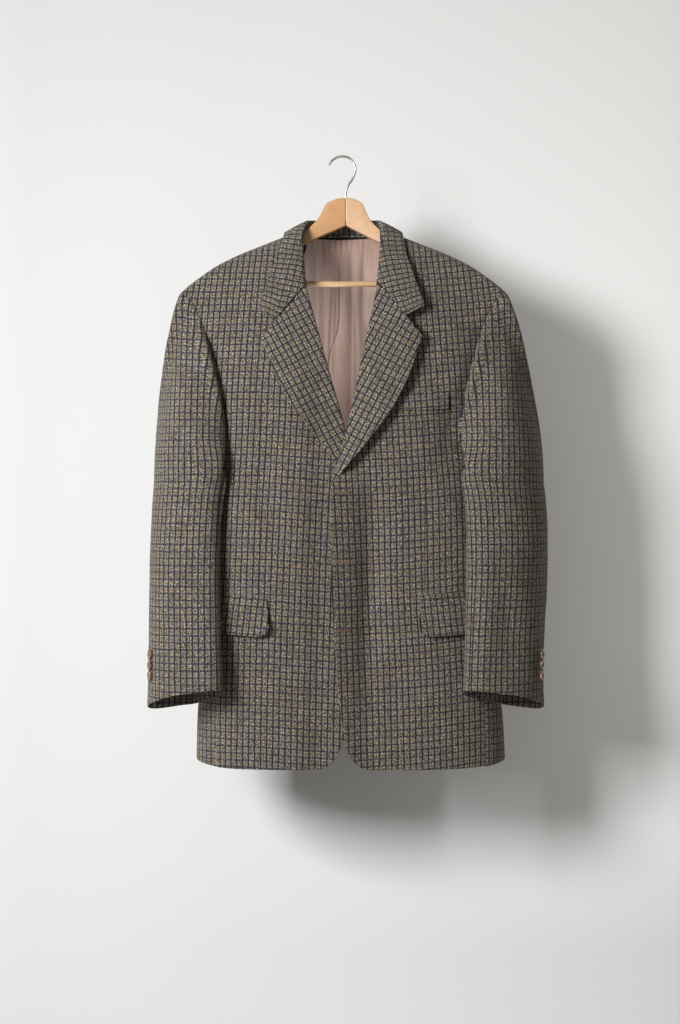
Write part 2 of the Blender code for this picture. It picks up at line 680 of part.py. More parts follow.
def shared_normals(panels):
    """Normals of several panels, averaged along their shared seams, so that the walls meet in a mitre."""
    total = {}
    normals = {name: grid_normals(grid) for name, grid in panels.items()}
    for name, grid in panels.items():
        for point, normal in zip(grid.reshape(-1, 3), normals[name].reshape(-1, 3)):
            key = point_key(point)
            total[key] = total.get(key, 0.0) + normal
    total = {key: normal / np.linalg.norm(normal) for key, normal in total.items()}
    shared = {}
    for name, grid in panels.items():
        found = [total[point_key(point)] for point in grid.reshape(-1, 3)]
        shared[name] = np.array(found).reshape(grid.shape)
    return shared, total


def armhole_normals(grid, normals, body_normals):
    """Gives a sleeve's first row the body's normals, except where the two fold together under the arm."""
    turned = normals.copy()
    for column in range(grid.shape[1]):
        body = body_normals[point_key(grid[0, column])]
        leave = grid[1, column] - grid[0, column]
        fold = np.dot(leave, body) / np.linalg.norm(leave)
        share = smoothstep(FOLD_SHARP, FOLD_FLAT, fold)
        normal = mix(normals[0, column], body, share)
        turned[0, column] = normal / np.linalg.norm(normal)
    return turned


def parted(grid, gap=SEAM_GAP):
    """Draws a grid's four edges in by half the seam's gap."""
    moved = grid.copy()
    for axis in (0, 1):
        for edge, inner in ((0, 1), (-1, -2)):
            rim = np.take(moved, edge, axis=axis)
            step = np.take(moved, inner, axis=axis) - rim
            length = np.maximum(np.linalg.norm(step, axis=-1, keepdims=True), TINY)
            rim = rim + step / length * gap / 2.0
            if axis == 0:
                moved[edge] = rim
            else:
                moved[:, edge] = rim
    return moved


def material_of(name):
    found = bpy.data.materials.get(name)
    if found:
        return found
    red, green, blue, roughness, metallic = COLOURS[name]
    made = bpy.data.materials.new(name)
    made.use_nodes = True
    shader = made.node_tree.nodes["Principled BSDF"]
    shader.inputs["Base Color"].default_value = (red, green, blue, 1.0)
    shader.inputs["Roughness"].default_value = roughness
    shader.inputs["Metallic"].default_value = metallic
    made.diffuse_color = (red, green, blue, 1.0)
    return made


def add_object(name, points, faces, material):
    mesh = bpy.data.meshes.new(name)
    mesh.from_pydata([tuple(p) for p in points], [], faces)
    mesh.validate()
    mesh.shade_smooth()
    mesh.set_sharp_from_angle(angle=math.radians(SHARP_ANGLE))
    mesh.materials.append(material_of(material))
    made = bpy.data.objects.new(name, mesh)
    bpy.context.scene.collection.objects.link(made)
    return made


def add_wall(name, outer, inner, material):
    """A closed wall between two grids of points, the outer one facing along columns crossed with rows."""
    rows, columns = outer.shape[:2]
    count = rows * columns
    index = np.arange(count).reshape(rows, columns)
    faces = []
    for i in range(rows - 1):
        for j in range(columns - 1):
            a, b = index[i, j : j + 2]
            d, c = index[i + 1, j : j + 2]
            rising = np.linalg.norm(outer[i, j] - outer[i + 1, j + 1])
            falling = np.linalg.norm(outer[i, j + 1] - outer[i + 1, j])
            halves = ((a, b, c), (a, c, d)) if rising < falling else ((a, b, d), (b, c, d))
            for half in halves:
                faces.append(half)
                faces.append(tuple(count + k for k in reversed(half)))
    loop = [*index[0, :-1], *index[:-1, -1], *index[-1, :0:-1], *index[:0:-1, 0]]
    for p, q in zip(loop, loop[1:] + loop[:1]):
        faces.append((q, p, count + p, count + q))
    points = np.concatenate([outer.reshape(-1, 3), inner.reshape(-1, 3)])
    return add_object(name, points, faces, material)


def add_panel(name, grid, normals, wall, material):
    """A cloth panel whose outer face is the grid, parted from its neighbours at the seams."""
    return add_wall(name, parted(grid), parted(grid - normals * wall), material)


def facing_out(grid, side):
    """Turns a grid round so that its columns crossed with its rows point out of the jacket."""
    return grid[:, ::-1] if side > 0 else grid


def side_name(side):
    return "right" if side < 0 else "left"


def build_body_and_sleeves():
    """Fronts, side panels, backs and two-piece sleeves, meeting at seams that share their points."""
    body = {}
    sleeves = {}
    for side in (-1, 1):
        word = side_name(side)
        body[f"front_{word}"] = facing_out(front_grid(side, ARMHOLE_STEPS, LOWER_STEPS, FRONT_COLUMNS), side)
        body[f"side_{word}"] = facing_out(side_grid(side, LOWER_STEPS, SIDE_COLUMNS), side)
        body[f"back_{word}"] = facing_out(back_grid(side, ARMHOLE_STEPS, LOWER_STEPS, FRONT_COLUMNS), -side)
        sleeve = sleeve_grid(side, ARMHOLE_STEPS, SIDE_COLUMNS, CAP_STEPS, SLEEVE_STEPS)
        round_it = np.concatenate([sleeve, sleeve[:, :1]], axis=1)
        count = sleeve.shape[1]
        front_seam = round(TOP_SEAM_FRONT * count)
        back_seam = round(TOP_SEAM_BACK * count)
        top = np.concatenate([round_it[:, back_seam:], round_it[:, 1 : front_seam + 1]], axis=1)
        under = round_it[:, front_seam : back_seam + 1]
        sleeves[f"sleeve_top_{word}"] = facing_out(top, -side)
        sleeves[f"sleeve_under_{word}"] = facing_out(under, -side)
    normals, body_normals = shared_normals(body)
    for name, grid in body.items():
        add_panel(name, grid, normals[name], CLOTH_WALL, "tweed")
    normals, _ = shared_normals(sleeves)
    for name, grid in sleeves.items():
        turned = armhole_normals(grid, normals[name], body_normals)
        add_panel(name, grid, turned, CLOTH_WALL, "tweed")


def unit(vectors):
    return vectors / np.maximum(np.linalg.norm(vectors, axis=-1, keepdims=True), TINY)


def turned_over(x, z, side, across):
    """Y of cloth that is turned over onto a front, lifting towards its free edge."""
    return front_depth(x, z, side) - LAPEL_RISE - LAPEL_LIFT[side] * np.sin(math.pi * 0.5 * across)


def lapel_grid(side, rows, columns, roll_steps):
    """Outer points of a lapel: rows run down the roll line, columns from behind the roll out to the edge."""
    share = np.linspace(0.0, 1.0, rows + 1)
    roll_z = mix(GORGE_HEIGHT - LAPEL_GAP - GORGE_DROP[side], LAPEL_FOOT, share)
    base_x = roll_x(roll_z, side)
    edge_x = side * along(LAPEL_EDGE, "out", share) + opening_lean(roll_z) * (1.0 - share)
    edge_z = along(LAPEL_EDGE, "height", share) - GORGE_DROP[side] * (1.0 - share)
    across = np.linspace(0.0, 1.0, columns + 1)[None, :]
    start_x = base_x + side * LAPEL_ROLL
    x = mix(start_x[:, None], edge_x[:, None], across)
    z = mix(roll_z[:, None], edge_z[:, None], across)
    lifted = across * smoothstep(LAPEL_LIFT_FOOT[side], LAPEL_LIFT_FULL[side], share)[:, None]
    flat = np.stack([x, turned_over(x, z, side, lifted), z], axis=-1)
    curls = []
    for turn in np.linspace(LAPEL_ROLL_TURN, 0.0, roll_steps + 1)[:-1]:
        angle = math.radians(turn)
        curl = flat[:, 0].copy()
        curl[:, 0] -= side * LAPEL_ROLL * math.sin(angle)
        curl[:, 1] += LAPEL_ROLL * (1.0 - math.cos(angle))
        curls.append(curl[:, None])
    return np.concatenate([*curls, flat], axis=1)


def build_lapels():
    for side in (-1, 1):
        grid = facing_out(lapel_grid(side, LAPEL_ROWS, LAPEL_COLUMNS, LAPEL_ROLL_STEPS), side)
        inner = grid - grid_normals(grid) * LAPEL_WALL
        add_wall(f"lapel_{side_name(side)}", grid, inner, "tweed")


def outside_body(points, gap):
    """Moves points under the shoulders' surface out of it, by the shortest of up, front and back."""
    x, y, z = points[..., 0], points[..., 1], points[..., 2]
    up = shoulder_height(x) + gap - z
    front = y - (panel_depth(x, z, -1) - gap)
    back = panel_depth(x, z, 1) + gap - y
    inside = (up > 0) & (front > 0) & (back > 0)
    least = np.minimum(np.minimum(up, front), back)
    z = np.where(inside & (least == up), z + up, z)
    y = np.where(inside & (least == front), y - front, y)
    y = np.where(inside & (least == back), y + back, y)
    return np.stack([x, y, z], axis=-1)


def collar_grid(steps, stand_steps, roll_steps, fall_steps):
    """Outer points of the collar: rows run round the neck, columns up the stand and down the fall."""
    share = np.linspace(-1.0, 1.0, 2 * steps + 1)
    place = np.abs(share)
    mirror = np.stack([np.where(share < 0, -1.0, 1.0), np.ones(len(share)), np.ones(len(share))], axis=1)
    shift = np.zeros((len(share), 3))
    shift[:, 0] = opening_lean(GORGE_HEIGHT) * smoothstep(*COLLAR_LEAN, place)
    drop = np.where(share < 0, GORGE_DROP[-1], GORGE_DROP[1])
    shift[:, 2] = -drop * smoothstep(COLLAR_DROP_START, 1.0, place)
    roll = along(COLLAR, "roll", place) * mirror + shift
    seam = along(COLLAR, "seam", place) * mirror + shift
    edge = outside_body(along(COLLAR, "edge", place) * mirror + shift, COLLAR_CLEAR + COLLAR_WALL)
    run = unit(np.gradient(roll, axis=0))
    outward = edge - roll
    outward = unit(outward - run * np.sum(run * outward, axis=1, keepdims=True))
    away = np.cross(run, outward)
    middle = roll + outward * COLLAR_ROLL
    columns = []
    for t in np.linspace(0.0, 1.0, stand_steps + 1)[:-1]:
        columns.append(mix(seam, middle - away * COLLAR_ROLL, t))
    for turn in np.linspace(180.0, 0.0, roll_steps + 1)[:-1]:
        angle = math.radians(turn)
        columns.append(middle + (away * math.cos(angle) - outward * math.sin(angle)) * COLLAR_ROLL)
    start = middle + away * COLLAR_ROLL
    belly = mix(start, edge, 0.5) + away * COLLAR_BELLY
    dip = along(COLLAR, "dip", place)
    lying = smoothstep(COLLAR_LIE_START, 1.0, place)[:, None]
    for t in np.linspace(0.0, 1.0, fall_steps + 1):
        fall = (1 - t) ** 2 * start + 2 * t * (1 - t) * belly + t**2 * edge
        fall[:, 2] -= dip * min(t / COLLAR_NOTCH, (1.0 - t) / (1.0 - COLLAR_NOTCH))
        fall = outside_body(fall, COLLAR_CLEAR + COLLAR_WALL)
        flat = fall.copy()
        for side in (-1, 1):
            mine = share * side > 0
            flat[mine, 1] = turned_over(fall[mine, 0], fall[mine, 2], side, t)
        columns.append(mix(fall, flat, lying))
    return np.stack(columns, axis=1)


def build_collar():
    grid = collar_grid(COLLAR_STEPS, COLLAR_STAND_STEPS, COLLAR_ROLL_STEPS, COLLAR_FALL_STEPS)
    inner = grid - grid_normals(grid) * COLLAR_WALL
    inner[:, -COLLAR_FALL_STEPS:] = outside_body(inner[:, -COLLAR_FALL_STEPS:], COLLAR_CLEAR)
    add_wall("collar", grid, inner, "tweed")


def build_hanger():
    """Two wooden arms that meet at the hook, a round trouser bar between their ends, and a wire hook."""
    bar_hole = add_rod("bar_hole", BAR_RADIUS + BAR_CLEAR, BAR_HALF + BAR_CLEAR, "wood")
    bar_hole.hide_render = True
    bar_hole.display_type = "WIRE"
    for side in (-1, 1):
        arm = add_arm(side)
        cut = arm.modifiers.new("bar_hole", "BOOLEAN")
        cut.operation = "DIFFERENCE"
        cut.object = bar_hole
    add_rod("hanger_bar", BAR_RADIUS, BAR_HALF, "wood")
    add_hook()


def add_rod(name, radius, half, material):
    mesh = bpy.data.meshes.new(name)
    shape = bmesh.new()
    bmesh.ops.create_cone(
        shape, cap_ends=True, segments=ROD_SIDES, radius1=radius, radius2=radius, depth=2.0 * half
    )
    shape.to_mesh(mesh)
    shape.free()
    mesh.shade_smooth()
    mesh.set_sharp_from_angle(angle=math.radians(SHARP_ANGLE))
    mesh.materials.append(material_of(material))
    made = bpy.data.objects.new(name, mesh)
    made.location = (0.0, BAR_DEPTH, BAR_HEIGHT)
    made.rotation_euler = (0.0, math.pi / 2.0, 0.0)
    bpy.context.scene.collection.objects.link(made)
    return made


def add_arm(side):
    """One arm: upright sections with eased corners, running out and forward under the shoulder."""
    out = np.array([row.out for row in ARM])
    out[0] = SEAM_GAP / 2.0
    top = np.array([row.top for row in ARM])
    foot = np.array([row.foot for row in ARM])
    rim = []
    for y_sign, at_top in ((-1, True), (1, True), (1, False), (-1, False)):
        for first in (True, False):
            side_step = (at_top == (y_sign < 0)) == first
            y = y_sign * (ARM_HALF_WALL - (0.0 if side_step else ARM_EDGE))
            z = (-ARM_EDGE if side_step else 0.0) if at_top else (ARM_EDGE if side_step else 0.0)
            rim.append((y, z, at_top))
    points = []
    for x, high, low in zip(out, top, foot):
        middle = ridge_depth(x)
        shift = HANGER_SHIFT * max(0.0, 1.0 - x / HANGER_HEAD)
        for y, z, at_top in rim:
            level = high if at_top else low
            points.append((side * x + shift, middle + y, level + z))
    count = len(rim)
    faces = []
    for i in range(len(out) - 1):
        for j in range(count):
            a = i * count + j
            b = i * count + (j + 1) % count
            faces.append((a, b, b + count, a + count))
    faces.append(tuple(reversed(range(count))))
    faces.append(tuple(range(len(points) - count, len(points))))
    if side > 0:
        faces = [tuple(reversed(face)) for face in faces]
    made = add_object(f"hanger_arm_{side_name(side)}", points, faces, "wood")
    shape = bmesh.new()
    shape.from_mesh(made.data)
    bmesh.ops.recalc_face_normals(shape, faces=shape.faces)
    shape.to_mesh(made.data)
    shape.free()
    return made


def add_hook():
    route = np.array(HOOK_ROUTE)
    length = np.concatenate([[0.0], np.cumsum(np.linalg.norm(np.diff(route, axis=0), axis=1))])
    Station = namedtuple("Station", "at x z")
    stations = tuple(Station(at, x, z) for at, (x, z) in zip(length, route))
    reach = np.linspace(0.0, length[-1], HOOK_STEPS + 1)
    curve = bpy.data.curves.new("hanger_hook", "CURVE")
    curve.dimensions = "3D"
    curve.bevel_depth = HOOK_RADIUS
    curve.bevel_resolution = HOOK_ROUNDNESS
    curve.use_fill_caps = True
    spline = curve.splines.new("POLY")
    spline.points.add(len(reach) - 1)
    xs = along(stations, "x", reach)
    zs = along(stations, "z", reach)
    for point, x, z in zip(spline.points, xs, zs):
        point.co = (x, 0.0, z, 1.0)
    curve.materials.append(material_of("steel"))
    bpy.context.scene.collection.objects.link(bpy.data.objects.new("hanger_hook", curve))


def build_pockets():
    """A flap and its jet on each front, and the breast welt on the wearer's left."""
    for side in (-1, 1):
        word = side_name(side)
        flap = flap_grid(side)
        add_wall(f"flap_{word}", flap, flap - grid_normals(flap) * FLAP_WALL, "tweed")
        jet = jet_grid(side)
        add_wall(f"jet_{word}", jet, jet - grid_normals(jet) * JET_WALL, "tweed")
    welt = facing_out(welt_grid(), 1)
    add_wall("breast_welt", welt, welt - grid_normals(welt) * FLAP_WALL, "tweed")


def pocket_reach(steps):
    """Lengths along a pocket from its front end, crowded there for the flap's round corner."""
    return FLAP_LENGTH * np.linspace(0.0, 1.0, steps + 1) ** FLAP_CROWDING


def pocket_turns(side, steps):
    """Turns round the body that lie evenly along a pocket, from its front end towards the back."""
    dense = np.linspace(POCKET_FIRST_TURN, POCKET_LAST_TURN, POCKET_SEARCH)
    run = side_points(dense, np.full(dense.shape, FLAP_TOP), side)
    length = np.concatenate([[0.0], np.cumsum(np.linalg.norm(np.diff(run, axis=0), axis=1))])
    begin = np.interp(FLAP_FRONT, np.abs(run[:, 0])[: len(dense) // 2], length[: len(dense) // 2])
    return np.interp(begin + pocket_reach(steps), length, dense)


def flap_grid(side):
    """Outer points of a flap: rows run down from the jet, columns from its rounded front end to the back."""
    turn = pocket_turns(side, FLAP_COLUMNS)[None, :]
    reach = pocket_reach(FLAP_COLUMNS)[None, :]
    down = np.linspace(0.0, 1.0, FLAP_ROWS + 1)[:, None]
    short = FLAP_CORNER * (1.0 - np.sqrt(1.0 - (1.0 - np.clip(reach / FLAP_CORNER, 0.0, 1.0)) ** 2))
    z = FLAP_TOP + FLAP_SLOPE * (reach - FLAP_SLOPE_REACH) - down * (FLAP_DEPTH - short)
    base = facing_out(side_points(np.broadcast_to(turn, z.shape), z, side), side)
    stand = FLAP_CLEAR + FLAP_WALL + FLAP_RISE * down**FLAP_CURVE
    return base + grid_normals(base) * stand[..., None]


def jet_grid(side):
    """Outer points of the narrow jet that the flap hangs from."""
    turn = pocket_turns(side, FLAP_COLUMNS)[None, :]
    reach = pocket_reach(FLAP_COLUMNS)[None, :]
    z = FLAP_TOP + FLAP_SLOPE * (reach - FLAP_SLOPE_REACH) + SEAM_GAP + np.array([JET_DEPTH, 0.0])[:, None]
    base = facing_out(side_points(np.broadcast_to(turn, z.shape), z, side), side)
    return base + grid_normals(base) * (FLAP_CLEAR + JET_WALL)


def welt_grid():
    x = np.linspace(WELT_INNER, WELT_OUTER, WELT_COLUMNS + 1)[None, :]
    down = np.linspace(0.0, 1.0, WELT_ROWS + 1)[:, None]
    z = WELT_TOP + WELT_SLOPE * (x - WELT_INNER) - down * WELT_DEPTH
    x = np.broadcast_to(x, z.shape)
    return np.stack([x, front_depth(x, z, 1) - WELT_CLEAR - FLAP_WALL, z], axis=-1)


def add_button(name, centre, outward, radius, wall):
    """A round button with a dished face, lying on cloth that faces outward."""
    outward = np.array(outward) / np.linalg.norm(outward)
    across = np.cross(outward, (0.0, 0.0, 1.0))
    across /= np.linalg.norm(across)
    up = np.cross(across, outward)
    points = []
    faces = []
    for rim in BUTTON_RIMS:
        for k in range(BUTTON_SIDES):
            angle = 2.0 * math.pi * k / BUTTON_SIDES
            ray = across * math.cos(angle) + up * math.sin(angle)
            points.append(centre + ray * radius * rim.spread + outward * (BUTTON_CLEAR + wall * rim.height))
    for i in range(len(BUTTON_RIMS) - 1):
        for k in range(BUTTON_SIDES):
            a = i * BUTTON_SIDES + k
            b = i * BUTTON_SIDES + (k + 1) % BUTTON_SIDES
            faces.append((a, b, b + BUTTON_SIDES, a + BUTTON_SIDES))
    faces.append(tuple(reversed(range(BUTTON_SIDES))))
    faces.append(tuple(range(len(points) - BUTTON_SIDES, len(points))))
    made = add_object(name, points, faces, "horn")
    shape = bmesh.new()
    shape.from_mesh(made.data)
    bmesh.ops.recalc_face_normals(shape, faces=shape.faces)
    shape.to_mesh(made.data)
    shape.free()


def build_buttons():
    """Three buttons up each cuff's back seam, and three on the front that lies underneath."""
    for side in (-1, 1):
        for k in range(CUFF_BUTTONS):
            height = CUFF_HEIGHT + CUFF_BUTTON_RISE + k * CUFF_BUTTON_PITCH
            turns = CUFF_BUTTON_TURN + CUFF_BUTTON_STEP * np.array([-1.0, 0.0, 1.0])
            near = sleeve_ring(side, turns, np.full(turns.shape, height))
            run = near[2] - near[0]
            outward = np.array([run[1], -run[0], 0.0]) * side
            outward = outward if outward[1] < 0 else -outward
            name = f"cuff_button_{side_name(side)}_{k + 1}"
            add_button(name, near[1], outward, CUFF_BUTTON_RADIUS, CUFF_BUTTON_WALL)
    for k in range(FRONT_BUTTONS):
        height = FRONT_BUTTON_TOP - k * FRONT_BUTTON_PITCH
        place = np.array([0.0, float(front_depth(np.array(0.0), np.array(height), -1)), height])
        add_button(f"front_button_{k + 1}", place, (0.0, -1.0, 0.0), FRONT_BUTTON_RADIUS, FRONT_BUTTON_WALL)


def build_lining():
    """The back lining inside the neck, with one pleat down the middle."""
    half = np.linspace(0.0, 1.0, LINING_COLUMNS + 1)[1:] * LINING_HALF
    pleat = np.array([-PLEAT_FALL, 0.0, PLEAT_RISE * 0.5])
    x = np.unique(np.concatenate([-half, pleat, half]))[None, :]
    share = np.linspace(0.0, 1.0, LINING_ROWS + 1)[:, None]
    z = mix(LINING_TOP, LINING_FOOT, share) + 0.0 * x
    narrow = mix(LINING_NECK, 1.0, smoothstep(0.0, LINING_SPREAD, share))
    x = np.broadcast_to(x, z.shape) * narrow
    wide = x / narrow
    crest = np.where(x < 0.0, smoothstep(-PLEAT_FALL, 0.0, wide), smoothstep(PLEAT_RISE, 0.0, wide))
    tuck = PLEAT_DEPTH * crest * smoothstep(0.0, PLEAT_START, share) * smoothstep(1.0, PLEAT_END, share)
    y = back_depth(x, z) - CLOTH_WALL - LINING_CLEAR - tuck
    grid = facing_out(np.stack([x, y, z], axis=-1), -1)
    add_wall("lining_back", grid, grid - grid_normals(grid) * LINING_WALL, "lining")


def main():
    for old in list(bpy.data.objects):
        bpy.data.objects.remove(old)
    build_body_and_sleeves()
    build_lapels()
    build_collar()
    build_pockets()
    build_buttons()
    build_lining()
    build_hanger()


main()
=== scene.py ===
"""A single-breasted blazer in checked wool on a wooden hanger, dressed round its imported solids. Metres, +Z up.

The origin is the inside top of the hanger's hook. +X is the viewer's right and +Y the jacket's back.
Side -1 is the viewer's left, which is the wearer's right.
"""

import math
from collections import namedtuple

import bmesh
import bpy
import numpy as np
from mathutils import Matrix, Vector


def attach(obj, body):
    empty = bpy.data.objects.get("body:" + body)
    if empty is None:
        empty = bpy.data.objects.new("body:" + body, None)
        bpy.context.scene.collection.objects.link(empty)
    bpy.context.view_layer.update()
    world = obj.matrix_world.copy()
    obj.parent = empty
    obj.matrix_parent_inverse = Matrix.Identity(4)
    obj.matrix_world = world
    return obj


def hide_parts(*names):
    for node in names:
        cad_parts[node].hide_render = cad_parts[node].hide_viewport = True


bl_info = {
    "name": "Blazer on hanger",
    "version": (1, 0, 0),
    "blender": (4, 5, 0),
    "location": "3D View > Sidebar > Blazer",
    "description": "Dresses the packed solids of a blazer and its hanger with cloth, lining, horn, wood and wire",
    "category": "Object",
}

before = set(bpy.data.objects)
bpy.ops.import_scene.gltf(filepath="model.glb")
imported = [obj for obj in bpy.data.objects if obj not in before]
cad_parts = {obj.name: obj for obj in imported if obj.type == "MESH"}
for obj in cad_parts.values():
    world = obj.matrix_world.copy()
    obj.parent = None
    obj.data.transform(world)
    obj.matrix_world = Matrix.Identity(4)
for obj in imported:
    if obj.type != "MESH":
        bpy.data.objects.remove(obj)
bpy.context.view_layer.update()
BODY_NAME = "root"

# Walls and gaps
CLOTH_WALL = 0.0020
LAPEL_WALL = 0.0020
COLLAR_WALL = 0.0020
FLAP_WALL = 0.0018
LINING_WALL = 0.0010
SEAM_GAP = 0.0004
TINY = 1e-9

# Shoulders: the ridge runs forward from the neck to the sleeve head
HALF_SHOULDER = 0.2345
NECK_POINT = 0.078
RIDGE_FORWARD = 0.040
RIDGE_POWER = 1.5
RIDGE_ROUND = 0.010
CHEST_REACH = 0.070
BACK_NECK_ONSET = 0.005
BACK_NECK_FULLNESS = 0.018
BACK_NECK_HALF = 0.070
BACK_NECK_FADE = 0.100

# Body levels
ARMHOLE_FOOT = -0.436
ARMHOLE_SIDE = -0.425
BREAK_HEIGHT = -0.482
BREAK_ABOVE = 0.012
BREAK_BELOW = 0.004
CORNER_HEIGHT = -0.830
FRONT_HEM = -0.8845
SIDE_HEM = -0.876
BACK_HEM = -0.860
FRONT_HEM_TURN = 55.0
BACK_HEM_TURN = 70.0
HEM_HALF_WIDTH = 0.240
HEM_CORNER_WIDTH = 0.038
HEM_CORNER_TURN = 45.0
UNDERLAP = 0.0080
UNDERLAP_FADE = 0.035
UNDERLAP_EDGE = 0.030
UNDERLAP_TOP = -0.300
UNDERLAP_FULL = -0.385
FRONT_SEAM_TURN = 36.0
BACK_SEAM_TURN = 38.0

# Lapel and collar
GORGE_HEIGHT = -0.193
LAPEL_FOOT = -0.474
LAPEL_RISE = 0.0036
LAPEL_ROLL = 0.0032
LAPEL_ROLL_TURN = 130.0
LAPEL_LIFT = {-1: 0.0060, 1: 0.0120}
LAPEL_LIFT_FOOT = {-1: 0.90, 1: 1.0}
LAPEL_LIFT_FULL = {-1: 0.35, 1: 0.84}
FRONT_TUCK = 0.0040
COLLAR_CLEAR = 0.0023
COLLAR_ROLL = 0.0034
COLLAR_BELLY = 0.0015
GORGE_DROP = {-1: 0.0045, 1: 0.0}
COLLAR_LEAN = (0.50, 0.74)
COLLAR_DROP_START = 0.66
COLLAR_LIE_START = 0.62

# Sleeve
SLEEVE_TOP_RING = -0.475
SLEEVE_GAP = 0.0115
SLEEVE_SQUARE = 2.6
CLEAR_SIDE = 0.045
CLEAR_FRONT = 0.085
CUFF_HEIGHT = -0.784
CUFF_SLOPE = 0.016
CUFF_LOW_TURN = 320.0
CAP_TANGENT = 0.34
CAP_OUTWARD = 0.58
CAP_FORWARD = 0.30
CAP_DOWNWARD = 0.75
CAP_FREE = 0.14
CAP_FULLNESS = 0.012
CAP_FULL_REACH = 0.42
CAP_FULL_OUT = 0.4
CAP_FULL_POWER = 0.7
CAP_HALF_DEPTH = 0.09
CAP_ARRIVAL = 0.9
UNDERARM_BLEND = 0.004
CAP_NOSE = 0.0035
CAP_NOSE_TURN = 0.365
CAP_NOSE_WIDTH = 0.042
TOP_SEAM_FRONT = 0.43
TOP_SEAM_BACK = 0.90

# Pockets
FLAP_TOP = -0.640
FLAP_DEPTH = 0.053
FLAP_LENGTH = 0.142
FLAP_FRONT = 0.109
FLAP_RISE = 0.0040
FLAP_CLEAR = 0.0009
FLAP_CORNER = 0.016
FLAP_SLOPE = 0.07
FLAP_SLOPE_REACH = 0.03
FLAP_CURVE = 1.5
POCKET_FIRST_TURN = -80.0
POCKET_LAST_TURN = 40.0
POCKET_SEARCH = 400
JET_DEPTH = 0.006
JET_WALL = 0.0012
WELT_INNER = 0.068
WELT_OUTER = 0.150
WELT_TOP = -0.350
WELT_SLOPE = 0.03
WELT_DEPTH = 0.024
WELT_CLEAR = 0.0013

# Buttons
CUFF_BUTTON_RADIUS = 0.0072
CUFF_BUTTON_WALL = 0.0030
CUFF_BUTTON_PITCH = 0.0150
CUFF_BUTTON_RISE = 0.034
CUFF_BUTTONS = 3
FRONT_BUTTON_RADIUS = 0.0100
FRONT_BUTTON_WALL = 0.0032
FRONT_BUTTON_TOP = -0.491
FRONT_BUTTON_PITCH = 0.097
FRONT_BUTTONS = 3
BUTTON_CLEAR = 0.0006
CUFF_BUTTON_TURN = 0.088
CUFF_BUTTON_STEP = 0.010

# Lining
LINING_TOP = -0.1160
LINING_FOOT = -0.842
LINING_HALF = 0.150
LINING_CLEAR = 0.0028
PLEAT_DEPTH = 0.007
PLEAT_RISE = 0.045
PLEAT_FALL = 0.004
PLEAT_START = 0.10
PLEAT_END = 0.80
LINING_NECK = 0.36
LINING_SPREAD = 0.24

# Hanger
ARM_HALF_WALL = 0.0070
HANGER_SHIFT = 0.0036
HANGER_HEAD = 0.040
ARM_EDGE = 0.0022
BAR_RADIUS = 0.0042
BAR_HEIGHT = -0.188
BAR_DEPTH = -0.0295
BAR_HALF = 0.1965
HOOK_RADIUS = 0.0018

FRONT_MIDDLE_ROW = -0.410
BACK_MIDDLE_ROW = -0.420
ROW_CROWDING = 1.45
COLUMN_CROWDING = 1.3
NECK_COLUMN_SHARE = 0.4
FLAP_CROWDING = 1.6

# Fine steps of the cloth
ARM_STEPS = 40
LOW_STEPS = 60
PANEL_COLUMNS = 44
SIDE_STEPS = 26
CAP_ROWS = 22
SLEEVE_ROWS = 52
LAPEL_FINE_ROWS = 60
LAPEL_FINE_COLUMNS = 26
LAPEL_FINE_ROLL = 10
COLLAR_FINE_STEPS = 60
COLLAR_FINE_STAND = 8
COLLAR_FINE_ROLL = 12
COLLAR_FINE_FALL = 22
FLAP_COLUMNS = 44
FLAP_ROWS = 18
WELT_COLUMNS = 34
WELT_ROWS = 12
LINING_FINE_COLUMNS = 90
LINING_FINE_ROWS = 90
BUTTON_SIDES = 40
ROD_SIDES = 40

# Rounded rims of the cloth, and soft waves over it
RIM_SHARES = (0.14, 0.36, 0.70)
RIM_DIPS = (1.0, 0.52, 0.18, 0.03)
RIM_WIDTH = 0.0040
RIM_DROP = 0.0009
SEWN_REACH = 0.020
WAVE_DEPTH = 0.0007
SHELL_WALL = 0.0016
HEM_FACING = 0.042
FRONT_FACING = 0.075

# Camera: level, and this far from the hanger
PHOTO_WIDE = 680
PHOTO_HIGH = 1024
PIXEL = 0.00146
CAMERA_AWAY = 3.0
CAMERA_X = -0.0051
CAMERA_Z = -0.5176
CAMERA_LENS = 72.2
LAPEL_GAP = 0.0002

Section = namedtuple("Section", "height half_width centre front back power")
BODY = (
    Section(-0.090, 0.252, 0.000, 0.084, 0.066, 2.6),
    Section(-0.300, 0.244, 0.000, 0.088, 0.074, 2.6),
    Section(-0.370, 0.214, 0.000, 0.090, 0.076, 3.2),
    Section(-0.440, 0.190, 0.001, 0.091, 0.076, 4.0),
    Section(-0.520, 0.192, 0.002, 0.090, 0.074, 4.4),
    Section(-0.600, 0.198, 0.004, 0.089, 0.073, 4.4),
    Section(-0.700, 0.208, 0.006, 0.089, 0.075, 3.8),
    Section(-0.790, 0.220, 0.009, 0.088, 0.078, 3.2),
    Section(-0.890, 0.2255, 0.011, 0.086, 0.080, 2.8),
)

Shoulder = namedtuple("Shoulder", "out height")
SHOULDER = (
    Shoulder(0.000, -0.098),
    Shoulder(0.072, -0.112),
    Shoulder(0.118, -0.130),
    Shoulder(0.161, -0.149),
    Shoulder(0.187, -0.1635),
    Shoulder(0.205, -0.1765),
    Shoulder(0.2345, -0.2015),
    Shoulder(0.260, -0.232),
)

